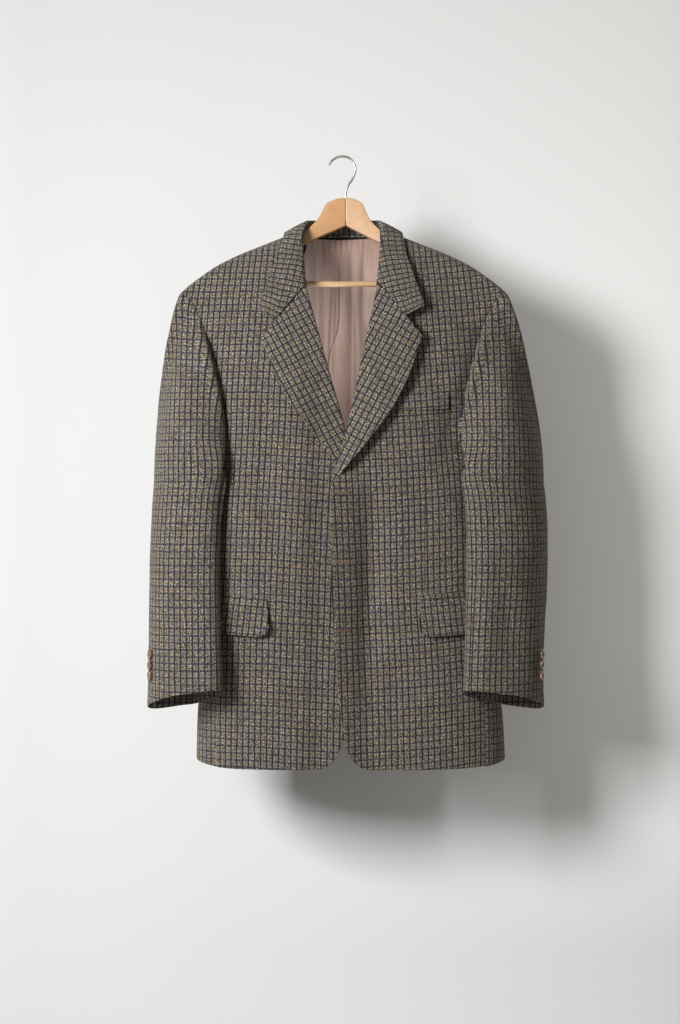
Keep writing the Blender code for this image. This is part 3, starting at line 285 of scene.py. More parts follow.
Armhole = namedtuple("Armhole", "height front back")
ARMHOLE = (
    Armhole(-0.2015, 0.2345, 0.2345),
    Armhole(-0.2100, 0.2225, 0.2270),
    Armhole(-0.2300, 0.2095, 0.2160),
    Armhole(-0.2550, 0.1985, 0.2070),
    Armhole(-0.2890, 0.1880, 0.1980),
    Armhole(-0.3270, 0.1785, 0.1890),
    Armhole(-0.3645, 0.1715, 0.1800),
    Armhole(-0.4030, 0.1685, 0.1690),
    Armhole(-0.4250, 0.1710, 0.1640),
)

Edge = namedtuple("Edge", "height out")
NECK_EDGE = (Edge(-0.114, 0.0780), Edge(-0.132, 0.0700), Edge(-0.155, 0.0620), Edge(-0.193, 0.0550))
ROLL_LINE = (Edge(-0.193, 0.0510), Edge(-0.482, -0.0190))
FRONT_EDGE = (
    Edge(-0.482, -0.0190),
    Edge(-0.585, -0.0175),
    Edge(-0.640, -0.0165),
    Edge(-0.700, -0.0125),
    Edge(-0.780, -0.0070),
    Edge(-0.830, 0.0005),
)
OPENING_LEAN = (Edge(-0.19, -0.003), Edge(-0.30, 0.000), Edge(-0.40, 0.0032), Edge(-0.482, 0.0))

LapelEdge = namedtuple("LapelEdge", "along out height")
LAPEL_EDGE = (
    LapelEdge(0.00, 0.1150, -0.2670),
    LapelEdge(0.32, 0.0830, -0.3470),
    LapelEdge(0.66, 0.0360, -0.4140),
    LapelEdge(1.00, -0.0125, -0.4720),
)

Rib = namedtuple("Rib", "along roll seam edge dip")
COLLAR = (
    Rib(0.00, (0.0000, 0.0300, -0.0890), (0.0000, 0.0290, -0.1130), (0.0000, 0.0500, -0.1300), 0.0),
    Rib(0.20, (0.0250, 0.0260, -0.0900), (0.0300, 0.0255, -0.1130), (0.0410, 0.0460, -0.1300), 0.0),
    Rib(0.38, (0.0425, 0.0130, -0.0925), (0.0530, 0.0135, -0.1115), (0.0720, 0.0280, -0.1250), 0.0),
    Rib(0.52, (0.0515, -0.0065, -0.0975), (0.0655, -0.0070, -0.1075), (0.0850, -0.0080, -0.1165), 0.0),
    Rib(0.66, (0.0565, -0.0270, -0.1160), (0.0655, -0.0275, -0.1210), (0.0910, -0.0370, -0.1380), 0.002),
    Rib(0.82, (0.0555, -0.0445, -0.1520), (0.0615, -0.0430, -0.1555), (0.1035, -0.0575, -0.1790), 0.010),
    Rib(1.00, (0.0510, -0.0616, -0.1920), (0.0550, -0.0595, -0.1935), (0.1185, -0.0730, -0.2235), 0.028),
)
COLLAR_NOTCH = 0.6

SleeveRing = namedtuple("SleeveRing", "height out forward long short turn")
SLEEVE = (
    SleeveRing(-0.475, 0.2215, 0.036, 0.0700, 0.0475, 60.0),
    SleeveRing(-0.540, 0.2255, 0.044, 0.0665, 0.0455, 54.0),
    SleeveRing(-0.600, 0.2275, 0.054, 0.0630, 0.0420, 46.0),
    SleeveRing(-0.680, 0.2265, 0.069, 0.0605, 0.0380, 37.0),
    SleeveRing(-0.790, 0.2245, 0.088, 0.0600, 0.0320, 27.0),
)
SLEEVE_SPREAD = {-1: 0.0, 1: 0.0025}
SLEEVE_BREADTH = {-1: 0.0, 1: 0.0050}
SLEEVE_BOW = {-1: 0.0, 1: 0.0068}
BOW_TOP = -0.250

Fold = namedtuple("Fold", "out top foot width depth")
FRONT_FOLDS = {
    -1: (Fold(0.114, -0.260, -0.600, 0.022, 0.0045), Fold(0.060, -0.640, -0.880, 0.030, 0.0030)),
    1: (
        Fold(0.152, -0.330, -0.500, 0.020, 0.0070),
        Fold(0.037, -0.420, -0.840, 0.017, 0.0100),
        Fold(0.112, -0.420, -0.620, 0.024, 0.0030),
        Fold(0.070, -0.650, -0.880, 0.032, 0.0035),
    ),
}
BACK_FOLDS = (Fold(0.125, -0.240, -0.560, 0.028, 0.0060), Fold(0.070, -0.600, -0.870, 0.032, 0.0045))

ArmLine = namedtuple("ArmLine", "out top foot")
ARM = (
    ArmLine(0.0000, -0.0590, -0.1000),
    ArmLine(0.0120, -0.0605, -0.1058),
    ArmLine(0.0265, -0.0670, -0.1126),
    ArmLine(0.0325, -0.0800, -0.1156),
    ArmLine(0.0390, -0.0930, -0.1188),
    ArmLine(0.0540, -0.1076, -0.1262),
    ArmLine(0.0720, -0.1215, -0.1365),
    ArmLine(0.1180, -0.1410, -0.1590),
    ArmLine(0.1610, -0.1615, -0.1800),
    ArmLine(0.1900, -0.1790, -0.1950),
    ArmLine(0.2060, -0.1930, -0.2020),
)
HOOK_ROUTE = (
    (0.0036, -0.0586),
    (0.0036, -0.0500),
    (0.0066, -0.0415),
    (0.0135, -0.0300),
    (0.0172, -0.0185),
    (0.0150, -0.0080),
    (0.0085, -0.0008),
    (0.0000, 0.0018),
    (-0.0095, 0.0004),
    (-0.0165, -0.0042),
    (-0.0215, -0.0110),
)


def along(table, column, where):
    """Reads a smooth curve through one column of a table at the values of its first column."""
    rows = sorted(table)
    known = np.array([row[0] for row in rows])
    values = np.array([getattr(row, column) for row in rows], float)
    flat = values.reshape(len(rows), -1)
    slopes = np.stack([np.gradient(flat[:, i], known) for i in range(flat.shape[1])], axis=1)
    where = np.clip(np.asarray(where, float), known[0], known[-1])
    cell = np.clip(np.searchsorted(known, where, side="right") - 1, 0, len(rows) - 2)
    width = known[cell + 1] - known[cell]
    t = ((where - known[cell]) / width)[..., None]
    width = width[..., None]
    read = (
        (2 * t**3 - 3 * t**2 + 1) * flat[cell]
        + (t**3 - 2 * t**2 + t) * width * slopes[cell]
        + (3 * t**2 - 2 * t**3) * flat[cell + 1]
        + (t**3 - t**2) * width * slopes[cell + 1]
    )
    return read if values.ndim > 1 else read[..., 0]


def smoothstep(low, high, value):
    t = np.clip((np.asarray(value, float) - low) / (high - low), 0.0, 1.0)
    return t * t * (3.0 - 2.0 * t)


def mix(a, b, t):
    return a + (b - a) * t


def shoulder_height(x):
    return along(SHOULDER, "height", np.abs(x))


def ridge_depth(x):
    return -RIDGE_FORWARD * (np.abs(x) / HALF_SHOULDER) ** RIDGE_POWER


def section_depth(x, z, column):
    """How far the body's rounded section reaches in front of, or behind, its middle."""
    power = along(BODY, "power", z)
    across = np.abs(x - along(BODY, "centre", z)) / along(BODY, "half_width", z)
    return along(BODY, column, z) * (1.0 - np.clip(across, 0.0, 1.0) ** power) ** (1.0 / power)


def fold_depth(folds, x, z):
    """Soft upright troughs, deepest half way down."""
    deep = np.zeros(np.broadcast(x, z).shape)
    for fold in folds:
        run = np.clip((fold.top - z) / (fold.top - fold.foot), 0.0, 1.0)
        deep = deep + fold.depth * np.exp(-(((x - fold.out) / fold.width) ** 2)) * np.sin(math.pi * run) ** 2
    return deep


def panel_depth(x, z, facing):
    """Y of the body's outer face at x and z: facing -1 is the front and 1 the back."""
    drop = np.maximum(shoulder_height(x) - z, 0.0)
    below = 1.0 - np.exp(-drop / CHEST_REACH)
    lip = np.sqrt(1.0 - (1.0 - np.minimum(drop / RIDGE_ROUND, 1.0)) ** 2) * (1.0 - below) ** 2
    full = section_depth(x, z, "front" if facing < 0 else "back")
    y = ridge_depth(x) * (1.0 - below) + facing * (full * below + RIDGE_ROUND * lip)
    if facing > 0:
        neck = np.exp(-((x / BACK_NECK_HALF) ** 2) - drop / BACK_NECK_FADE)
        y = y + BACK_NECK_FULLNESS * neck * np.minimum(drop / BACK_NECK_ONSET, 1.0)
    return y


def front_depth(x, z, side):
    """Y of a front panel: its folds go in, and the front that lies underneath is set back."""
    y = panel_depth(x, z, -1) + fold_depth(FRONT_FOLDS[side], side * x, z)
    if side < 0:
        across = smoothstep(-UNDERLAP_FADE - UNDERLAP_EDGE, -UNDERLAP_EDGE, x)
        y = y + UNDERLAP * across * smoothstep(UNDERLAP_TOP, UNDERLAP_FULL, z)
    return y


def back_depth(x, z):
    return panel_depth(x, z, 1) - fold_depth(BACK_FOLDS, np.abs(x), z)


def ring_x(turn, z, side):
    """X on the body's section: turn -90 is the middle front, 0 the side and 90 the middle back."""
    power = along(BODY, "power", z)
    reach = np.abs(np.cos(np.radians(turn))) ** (2.0 / power)
    return along(BODY, "centre", z) + side * along(BODY, "half_width", z) * reach


def seam_x(z, side, facing):
    """X of the seam between a side panel and the front or the back."""
    turn = FRONT_SEAM_TURN if facing < 0 else BACK_SEAM_TURN
    return ring_x(np.full(np.shape(z), turn), z, side)


def armhole_run(side, facing, steps):
    """Points of the armhole from the shoulder tip down to the side panel, on the front or the back."""
    share = np.linspace(0.0, 1.0, steps + 1) ** ROW_CROWDING
    z = mix(ARMHOLE[0].height, ARMHOLE_SIDE, share)
    x = side * along(ARMHOLE, "front" if facing < 0 else "back", z)
    x[-1] = seam_x(z[-1:], side, facing)[0]
    y = front_depth(x, z, side) if facing < 0 else back_depth(x, z)
    y[0] = ridge_depth(x[0])
    return np.stack([x, y, z], axis=1)


def armhole_foot(side, steps):
    """Points of the armhole under the arm, across the top of the side panel from front to back."""
    turn = np.linspace(-FRONT_SEAM_TURN, BACK_SEAM_TURN, steps + 1)
    share = np.linspace(0.0, 1.0, steps + 1)
    z = ARMHOLE_SIDE + (ARMHOLE_FOOT - ARMHOLE_SIDE) * np.sin(math.pi * share)
    return side_points(turn, z, side)


def side_points(turn, z, side):
    x = ring_x(turn, z, side)
    front = front_depth(x, z, side)
    back = back_depth(x, z)
    return np.stack([x, np.where(turn < 0, front, back), z], axis=-1)


def hem_height(turn):
    """Height of the hem round the body, from the middle front at -90 to the middle back at 90."""
    front = mix(SIDE_HEM, FRONT_HEM, smoothstep(0.0, FRONT_HEM_TURN, -turn))
    back = mix(SIDE_HEM, BACK_HEM, smoothstep(0.0, BACK_HEM_TURN, turn))
    return np.where(turn < 0, front, back)


def opening_lean(z):
    return along(OPENING_LEAN, "out", z)


def roll_x(z, side):
    """X of the lapel's roll line, where the front turns over."""
    return side * along(ROLL_LINE, "out", z) + opening_lean(z)


def front_edge_x(z, side):
    return side * along(FRONT_EDGE, "out", z)


def front_inner(side, z):
    """X of a front's free edge: down the neck, the roll line and the front edge to the hem's corner."""
    neck = side * along(NECK_EDGE, "out", z) + opening_lean(z)
    rolled = roll_x(z, side) + side * FRONT_TUCK
    drop = np.clip((CORNER_HEIGHT - z) / (CORNER_HEIGHT - FRONT_HEM), 0.0, 1.0)
    corner = side * HEM_CORNER_WIDTH * (1.0 - np.sqrt(1.0 - drop**2))
    closing = smoothstep(BREAK_HEIGHT + BREAK_ABOVE, BREAK_HEIGHT - BREAK_BELOW, z)
    lower = mix(rolled, front_edge_x(z, side), closing) + corner
    return np.where(z > GORGE_HEIGHT, neck, lower)


def hem_corner_height(x, side):
    """Height of a front's lower edge: it rises in a round corner near the front edge."""
    edge = front_edge_x(np.array(CORNER_HEIGHT), side)
    near = np.clip(side * (x - edge) / HEM_CORNER_WIDTH, 0.0, 1.0)
    return (CORNER_HEIGHT - FRONT_HEM) * (1.0 - np.sqrt(1.0 - (1.0 - near) ** 2))


def front_grid(side, arm_steps, low_steps, columns):
    """Outer points of a front: rows run down from the shoulder seam, columns out from the free edge."""
    arm = armhole_run(side, -1, arm_steps)
    low_share = np.linspace(0.0, 1.0, low_steps + 1)[1:]
    side_turn = -FRONT_SEAM_TURN
    foot_z = float(hem_height(np.array(side_turn)))
    outer_z = np.concatenate([arm[:, 2], mix(ARMHOLE_SIDE, foot_z, low_share)])
    outer_x = np.concatenate([arm[:, 0], seam_x(outer_z[arm_steps + 1 :], side, -1)])
    corner = CORNER_HEIGHT + (FRONT_HEM - CORNER_HEIGHT) * math.sin(math.radians(HEM_CORNER_TURN))
    neck_z = shoulder_height(NECK_POINT)
    arm_share = np.linspace(0.0, 1.0, arm_steps + 1) ** ROW_CROWDING
    upper_z = mix(neck_z, FRONT_MIDDLE_ROW, arm_share)
    inner_z = np.concatenate([upper_z, mix(FRONT_MIDDLE_ROW, corner, low_share)])
    inner_x = front_inner(side, inner_z)
    inner_x[0] = side * NECK_POINT
    across = (np.linspace(0.0, 1.0, columns + 1) ** COLUMN_CROWDING)[None, :]
    x = mix(inner_x[:, None], outer_x[:, None], across)
    straight = mix(inner_z[:, None], outer_z[:, None], across)
    inner_drop = shoulder_height(inner_x) - inner_z
    outer_drop = shoulder_height(outer_x) - outer_z
    inner_drop[0] = outer_drop[0] = 0.0
    sloped = shoulder_height(x) - mix(inner_drop[:, None], outer_drop[:, None], across)
    rows = np.arange(len(outer_z))
    level = smoothstep(0, arm_steps, rows)[:, None]
    z = mix(sloped, straight, level)
    foot = hem_height(np.degrees(-np.arccos(np.clip(np.abs(x[-1]) / HEM_HALF_WIDTH, 0.0, 1.0))))
    z[-1] = np.maximum(foot, FRONT_HEM) + hem_corner_height(x[-1], side)
    z[-1, -1] = outer_z[-1]
    y = front_depth(x, z, side)
    y[0] = ridge_depth(x[0])
    grid = np.stack([x, y, z], axis=-1)
    grid[: arm_steps + 1, -1] = arm
    grid[arm_steps:, -1] = side_points(np.full(low_steps + 1, side_turn), outer_z[arm_steps:], side)
    return grid


def back_grid(side, arm_steps, low_steps, columns):
    """Outer points of half the back: rows run down from the neck and shoulder, columns out from the middle.

    The columns beyond the neck meet those of the front along the shoulder seam.
    """
    arm = armhole_run(side, 1, arm_steps)
    low_share = np.linspace(0.0, 1.0, low_steps + 1)[1:]
    foot_z = float(hem_height(np.array(BACK_SEAM_TURN)))
    outer_z = np.concatenate([arm[:, 2], mix(ARMHOLE_SIDE, foot_z, low_share)])
    outer_x = np.concatenate([arm[:, 0], seam_x(outer_z[arm_steps + 1 :], side, 1)])
    neck_z = float(shoulder_height(NECK_POINT))
    arm_share = np.linspace(0.0, 1.0, arm_steps + 1) ** ROW_CROWDING
    upper_z = mix(neck_z, BACK_MIDDLE_ROW, arm_share)
    inner_z = np.concatenate([upper_z, mix(BACK_MIDDLE_ROW, BACK_HEM, low_share)])
    neck_share = NECK_POINT / HALF_SHOULDER
    neck_columns = round(columns * NECK_COLUMN_SHARE)
    neck_across = np.linspace(0.0, neck_share, neck_columns + 1)[:-1]
    shoulder_across = mix(neck_share, 1.0, np.linspace(0.0, 1.0, columns + 1) ** COLUMN_CROWDING)
    across = np.concatenate([neck_across, shoulder_across])[None, :]
    x = outer_x[:, None] * across
    straight = mix(inner_z[:, None], outer_z[:, None], across)
    neck_drop = np.maximum(shoulder_height(x) - neck_z, 0.0)
    inner_drop = neck_z - inner_z
    outer_drop = shoulder_height(outer_x) - outer_z
    outer_drop[0] = 0.0
    sloped = shoulder_height(x) - neck_drop - mix(inner_drop[:, None], outer_drop[:, None], across)
    level = smoothstep(0, arm_steps, np.arange(len(outer_z)))[:, None]
    z = mix(sloped, straight, level)
    y = back_depth(x, z)
    grid = np.stack([x, y, z], axis=-1)
    grid[: arm_steps + 1, -1] = arm
    grid[arm_steps:, -1] = side_points(np.full(low_steps + 1, BACK_SEAM_TURN), outer_z[arm_steps:], side)
    return grid


def side_grid(side, low_steps, columns):
    """Outer points of the panel under the arm: rows run down, columns from front to back."""
    top = armhole_foot(side, columns)
    turn = np.linspace(-FRONT_SEAM_TURN, BACK_SEAM_TURN, columns + 1)[None, :]
    share = np.linspace(0.0, 1.0, low_steps + 1)[:, None]
    z = mix(top[None, :, 2], hem_height(turn), share)
    return side_points(np.broadcast_to(turn, z.shape), z, side)


def armhole_loop(side, arm_steps, columns):
    """The whole armhole: tip, down the front, under the arm, and up the back to the point before the tip."""
    front = armhole_run(side, -1, arm_steps)
    foot = armhole_foot(side, columns)
    back = armhole_run(side, 1, arm_steps)[::-1]
    return np.concatenate([front, foot[1:], back[1:-1]])


def loop_turns(loop):
    """How far round a closed loop each point lies, as a share of its length."""
    closed = np.concatenate([loop, loop[:1]])
    length = np.concatenate([[0.0], np.cumsum(np.linalg.norm(np.diff(closed, axis=0), axis=1))])
    return length[:-1] / length[-1]


def clear_of_body(points, gap):
    """Pushes points inside the body's section out to a gap from it, straight forward at the front."""
    z = points[..., 2]
    centre = along(BODY, "centre", z)
    half = along(BODY, "half_width", z) + gap
    power = along(BODY, "power", z)
    depth = np.where(points[..., 1] < 0, along(BODY, "front", z), along(BODY, "back", z)) + gap
    x = points[..., 0] - centre
    y = points[..., 1]
    inside = (np.abs(x) / half) ** power + (np.abs(y) / depth) ** power
    push = np.where(inside < 1.0, np.maximum(inside, TINY) ** (-1.0 / power), 1.0)
    ahead = -depth * (1.0 - np.clip(np.abs(x) / half, 0.0, 1.0) ** power) ** (1.0 / power)
    forward = smoothstep(CLEAR_SIDE, CLEAR_FRONT, -y) * (inside < 1.0)
    return np.stack([centre + mix(x * push, x, forward), mix(y * push, ahead, forward), z], axis=-1)


def squared(reach, most):
    """Draws an oval out towards its corners, with its sides left in place."""
    return np.sign(reach) * most * (np.abs(reach) / most) ** (2.0 / SLEEVE_SQUARE)


def sleeve_ring(side, turns, z):
    """Points of a sleeve's section at one or more heights: turn 0 faces outward and 0.25 the front."""
    bow = SLEEVE_BOW[side] * np.sin(math.pi * smoothstep(BOW_TOP, CUFF_HEIGHT, z))
    out = along(SLEEVE, "out", z) + SLEEVE_SPREAD[side] + bow
    lean = np.radians(along(SLEEVE, "turn", z))
    long_half = along(SLEEVE, "long", z) + SLEEVE_BREADTH[side]
    short_half = along(SLEEVE, "short", z)
    start = np.arctan2(short_half * np.sin(lean), long_half * np.cos(lean))
    angle = start + 2.0 * math.pi * turns
    a = long_half * np.cos(angle)
    b = short_half * np.sin(angle)
    wide = np.hypot(long_half * np.cos(lean), short_half * np.sin(lean))
    deep = np.hypot(long_half * np.sin(lean), short_half * np.cos(lean))
    x = side * (out + squared(a * np.cos(lean) + b * np.sin(lean), wide) * (1.0 + bow / wide))
    y = -along(SLEEVE, "forward", z) + squared(a * np.sin(lean) - b * np.cos(lean), deep)
    points = np.stack(np.broadcast_arrays(x, y, z), axis=-1)
    return clear_of_body(points, SLEEVE_GAP)


def sleeve_grid(side, arm_steps, columns, cap_steps, steps):
    """Outer points of the whole sleeve: rows run down to the cuff, columns round it from the tip."""
    loop = armhole_loop(side, arm_steps, columns)
    turns = loop_turns(loop)
    ring = sleeve_ring(side, turns, np.full(len(turns), SLEEVE_TOP_RING))
    reach = np.linalg.norm(ring - loop, axis=1)[:, None]
    swell = (loop[:, 1] - loop[:, 1].mean()) / CAP_HALF_DEPTH
    upper = smoothstep(ARMHOLE_SIDE, ARMHOLE_SIDE + CAP_FREE, loop[:, 2])
    downward = np.full(len(loop), -CAP_DOWNWARD)
    leave = np.stack([side * CAP_OUTWARD * upper, CAP_FORWARD * swell, downward], axis=1)
    leave = leave * reach * CAP_TANGENT
    arrive = np.array([0.0, 0.0, -1.0]) * reach * CAP_ARRIVAL
    ahead = np.sin(math.pi * np.clip(turns / CAP_FULL_REACH, 0.0, 1.0)) ** CAP_FULL_POWER
    behind = np.sin(math.pi * np.clip((1.0 - turns) / CAP_FULL_REACH, 0.0, 1.0)) ** CAP_FULL_POWER
    nose = CAP_NOSE * np.exp(-(((turns - CAP_NOSE_TURN) / CAP_NOSE_WIDTH) ** 2))
    spread = side * (CAP_FULLNESS * CAP_FULL_OUT * (ahead + behind) * upper - nose)
    fullness = np.stack([spread, CAP_FULLNESS * (behind - ahead) - nose, 0.0 * turns], axis=1)
    rows = []
    for t in np.linspace(0.0, 1.0, cap_steps + 1):
        row = (
            (2 * t**3 - 3 * t**2 + 1) * loop
            + (t**3 - 2 * t**2 + t) * leave
            + (3 * t**2 - 2 * t**3) * ring
            + (t**3 - t**2) * arrive
            + math.sin(math.pi * t) * fullness
        )
        under = smoothstep(ARMHOLE_SIDE, ARMHOLE_SIDE - UNDERARM_BLEND, row[:, 2])[:, None]
        rows.append(mix(row, clear_of_body(row, SLEEVE_GAP * t), under) if t > 0.0 else loop)
    cuff = CUFF_HEIGHT - CUFF_SLOPE * np.cos(2.0 * math.pi * (turns - CUFF_LOW_TURN / 360.0))
    for t in np.linspace(0.0, 1.0, steps + 1)[1:]:
        rows.append(sleeve_ring(side, turns, mix(SLEEVE_TOP_RING, cuff, t)))
    return np.stack(rows)


def grid_normals(grid):
    """Unit normals of a grid of points, columns crossed with rows."""
    normal = np.cross(np.gradient(grid, axis=1), np.gradient(grid, axis=0))
    return normal / np.maximum(np.linalg.norm(normal, axis=-1, keepdims=True), TINY)


def facing_out(grid, side):
    """Turns a grid round so that its columns crossed with its rows point out of the jacket."""
    return grid[:, ::-1] if side > 0 else grid


def side_name(side):
    return "right" if side < 0 else "left"


def parted(grid, gap=SEAM_GAP):
    """Draws a grid's four edges in by half the seam's gap."""
    moved = grid.copy()
    for axis in (0, 1):
        for edge, inner in ((0, 1), (-1, -2)):
            rim = np.take(moved, edge, axis=axis)
            step = np.take(moved, inner, axis=axis) - rim
            length = np.maximum(np.linalg.norm(step, axis=-1, keepdims=True), TINY)
            rim = rim + step / length * gap / 2.0
            if axis == 0:
                moved[edge] = rim
            else:
                moved[:, edge] = rim
    return moved


def unit(vectors):
    return vectors / np.maximum(np.linalg.norm(vectors, axis=-1, keepdims=True), TINY)


def turned_over(x, z, side, across):
    """Y of cloth that is turned over onto a front, lifting towards its free edge."""
    return front_depth(x, z, side) - LAPEL_RISE - LAPEL_LIFT[side] * np.sin(math.pi * 0.5 * across)


def lapel_grid(side, rows, columns, roll_steps):
    """Outer points of a lapel: rows run down the roll line, columns from behind the roll out to the edge."""
    share = np.linspace(0.0, 1.0, rows + 1)
    roll_z = mix(GORGE_HEIGHT - LAPEL_GAP - GORGE_DROP[side], LAPEL_FOOT, share)
    base_x = roll_x(roll_z, side)
    edge_x = side * along(LAPEL_EDGE, "out", share) + opening_lean(roll_z) * (1.0 - share)
    edge_z = along(LAPEL_EDGE, "height", share) - GORGE_DROP[side] * (1.0 - share)
    across = np.linspace(0.0, 1.0, columns + 1)[None, :]
    start_x = base_x + side * LAPEL_ROLL
    x = mix(start_x[:, None], edge_x[:, None], across)
    z = mix(roll_z[:, None], edge_z[:, None], across)
    lifted = across * smoothstep(LAPEL_LIFT_FOOT[side], LAPEL_LIFT_FULL[side], share)[:, None]
    flat = np.stack([x, turned_over(x, z, side, lifted), z], axis=-1)
    curls = []
    for turn in np.linspace(LAPEL_ROLL_TURN, 0.0, roll_steps + 1)[:-1]:
        angle = math.radians(turn)
        curl = flat[:, 0].copy()
        curl[:, 0] -= side * LAPEL_ROLL * math.sin(angle)
        curl[:, 1] += LAPEL_ROLL * (1.0 - math.cos(angle))
        curls.append(curl[:, None])
    return np.concatenate([*curls, flat], axis=1)


def outside_body(points, gap):
    """Moves points under the shoulders' surface out of it, by the shortest of up, front and back."""
    x, y, z = points[..., 0], points[..., 1], points[..., 2]
    up = shoulder_height(x) + gap - z
    front = y - (panel_depth(x, z, -1) - gap)
    back = panel_depth(x, z, 1) + gap - y
    inside = (up > 0) & (front > 0) & (back > 0)
    least = np.minimum(np.minimum(up, front), back)
    z = np.where(inside & (least == up), z + up, z)
    y = np.where(inside & (least == front), y - front, y)
    y = np.where(inside & (least == back), y + back, y)
    return np.stack([x, y, z], axis=-1)


def collar_grid(steps, stand_steps, roll_steps, fall_steps):
    """Outer points of the collar: rows run round the neck, columns up the stand and down the fall."""
    share = np.linspace(-1.0, 1.0, 2 * steps + 1)
    place = np.abs(share)
    mirror = np.stack([np.where(share < 0, -1.0, 1.0), np.ones(len(share)), np.ones(len(share))], axis=1)
    shift = np.zeros((len(share), 3))
    shift[:, 0] = opening_lean(GORGE_HEIGHT) * smoothstep(*COLLAR_LEAN, place)
    drop = np.where(share < 0, GORGE_DROP[-1], GORGE_DROP[1])
    shift[:, 2] = -drop * smoothstep(COLLAR_DROP_START, 1.0, place)
    roll = along(COLLAR, "roll", place) * mirror + shift
    seam = along(COLLAR, "seam", place) * mirror + shift
    edge = outside_body(along(COLLAR, "edge", place) * mirror + shift, COLLAR_CLEAR + COLLAR_WALL)
    run = unit(np.gradient(roll, axis=0))
    outward = edge - roll
    outward = unit(outward - run * np.sum(run * outward, axis=1, keepdims=True))
    away = np.cross(run, outward)
    middle = roll + outward * COLLAR_ROLL
    columns = []
    for t in np.linspace(0.0, 1.0, stand_steps + 1)[:-1]:
        columns.append(mix(seam, middle - away * COLLAR_ROLL, t))
    for turn in np.linspace(180.0, 0.0, roll_steps + 1)[:-1]:
        angle = math.radians(turn)
        columns.append(middle + (away * math.cos(angle) - outward * math.sin(angle)) * COLLAR_ROLL)
    start = middle + away * COLLAR_ROLL
    belly = mix(start, edge, 0.5) + away * COLLAR_BELLY
    dip = along(COLLAR, "dip", place)
    lying = smoothstep(COLLAR_LIE_START, 1.0, place)[:, None]
    for t in np.linspace(0.0, 1.0, fall_steps + 1):
        fall = (1 - t) ** 2 * start + 2 * t * (1 - t) * belly + t**2 * edge
        fall[:, 2] -= dip * min(t / COLLAR_NOTCH, (1.0 - t) / (1.0 - COLLAR_NOTCH))
        fall = outside_body(fall, COLLAR_CLEAR + COLLAR_WALL)
        flat = fall.copy()
        for side in (-1, 1):
            mine = share * side > 0
            flat[mine, 1] = turned_over(fall[mine, 0], fall[mine, 2], side, t)
        columns.append(mix(fall, flat, lying))
    return np.stack(columns, axis=1)


def pocket_reach(steps):
    """Lengths along a pocket from its front end, crowded there for the flap's round corner."""
    return FLAP_LENGTH * np.linspace(0.0, 1.0, steps + 1) ** FLAP_CROWDING


def pocket_turns(side, steps):
    """Turns round the body that lie evenly along a pocket, from its front end towards the back."""
    dense = np.linspace(POCKET_FIRST_TURN, POCKET_LAST_TURN, POCKET_SEARCH)
    run = side_points(dense, np.full(dense.shape, FLAP_TOP), side)
    length = np.concatenate([[0.0], np.cumsum(np.linalg.norm(np.diff(run, axis=0), axis=1))])
    begin = np.interp(FLAP_FRONT, np.abs(run[:, 0])[: len(dense) // 2], length[: len(dense) // 2])
    return np.interp(begin + pocket_reach(steps), length, dense)


def flap_grid(side):
    """Outer points of a flap: rows run down from the jet, columns from its rounded front end to the back."""
    turn = pocket_turns(side, FLAP_COLUMNS)[None, :]
    reach = pocket_reach(FLAP_COLUMNS)[None, :]
    down = np.linspace(0.0, 1.0, FLAP_ROWS + 1)[:, None]
    short = FLAP_CORNER * (1.0 - np.sqrt(1.0 - (1.0 - np.clip(reach / FLAP_CORNER, 0.0, 1.0)) ** 2))
    z = FLAP_TOP + FLAP_SLOPE * (reach - FLAP_SLOPE_REACH) - down * (FLAP_DEPTH - short)
    base = facing_out(side_points(np.broadcast_to(turn, z.shape), z, side), side)
    stand = FLAP_CLEAR + FLAP_WALL + FLAP_RISE * down**FLAP_CURVE
    return base + grid_normals(base) * stand[..., None]


def jet_grid(side):
    """Outer points of the narrow jet that the flap hangs from."""
    turn = pocket_turns(side, FLAP_COLUMNS)[None, :]
    reach = pocket_reach(FLAP_COLUMNS)[None, :]
    z = FLAP_TOP + FLAP_SLOPE * (reach - FLAP_SLOPE_REACH) + SEAM_GAP + np.array([JET_DEPTH, 0.0])[:, None]
    base = facing_out(side_points(np.broadcast_to(turn, z.shape), z, side), side)
    return base + grid_normals(base) * (FLAP_CLEAR + JET_WALL)


def welt_grid():
    x = np.linspace(WELT_INNER, WELT_OUTER, WELT_COLUMNS + 1)[None, :]
    down = np.linspace(0.0, 1.0, WELT_ROWS + 1)[:, None]
    z = WELT_TOP + WELT_SLOPE * (x - WELT_INNER) - down * WELT_DEPTH
    x = np.broadcast_to(x, z.shape)
    return np.stack([x, front_depth(x, z, 1) - WELT_CLEAR - FLAP_WALL, z], axis=-1)


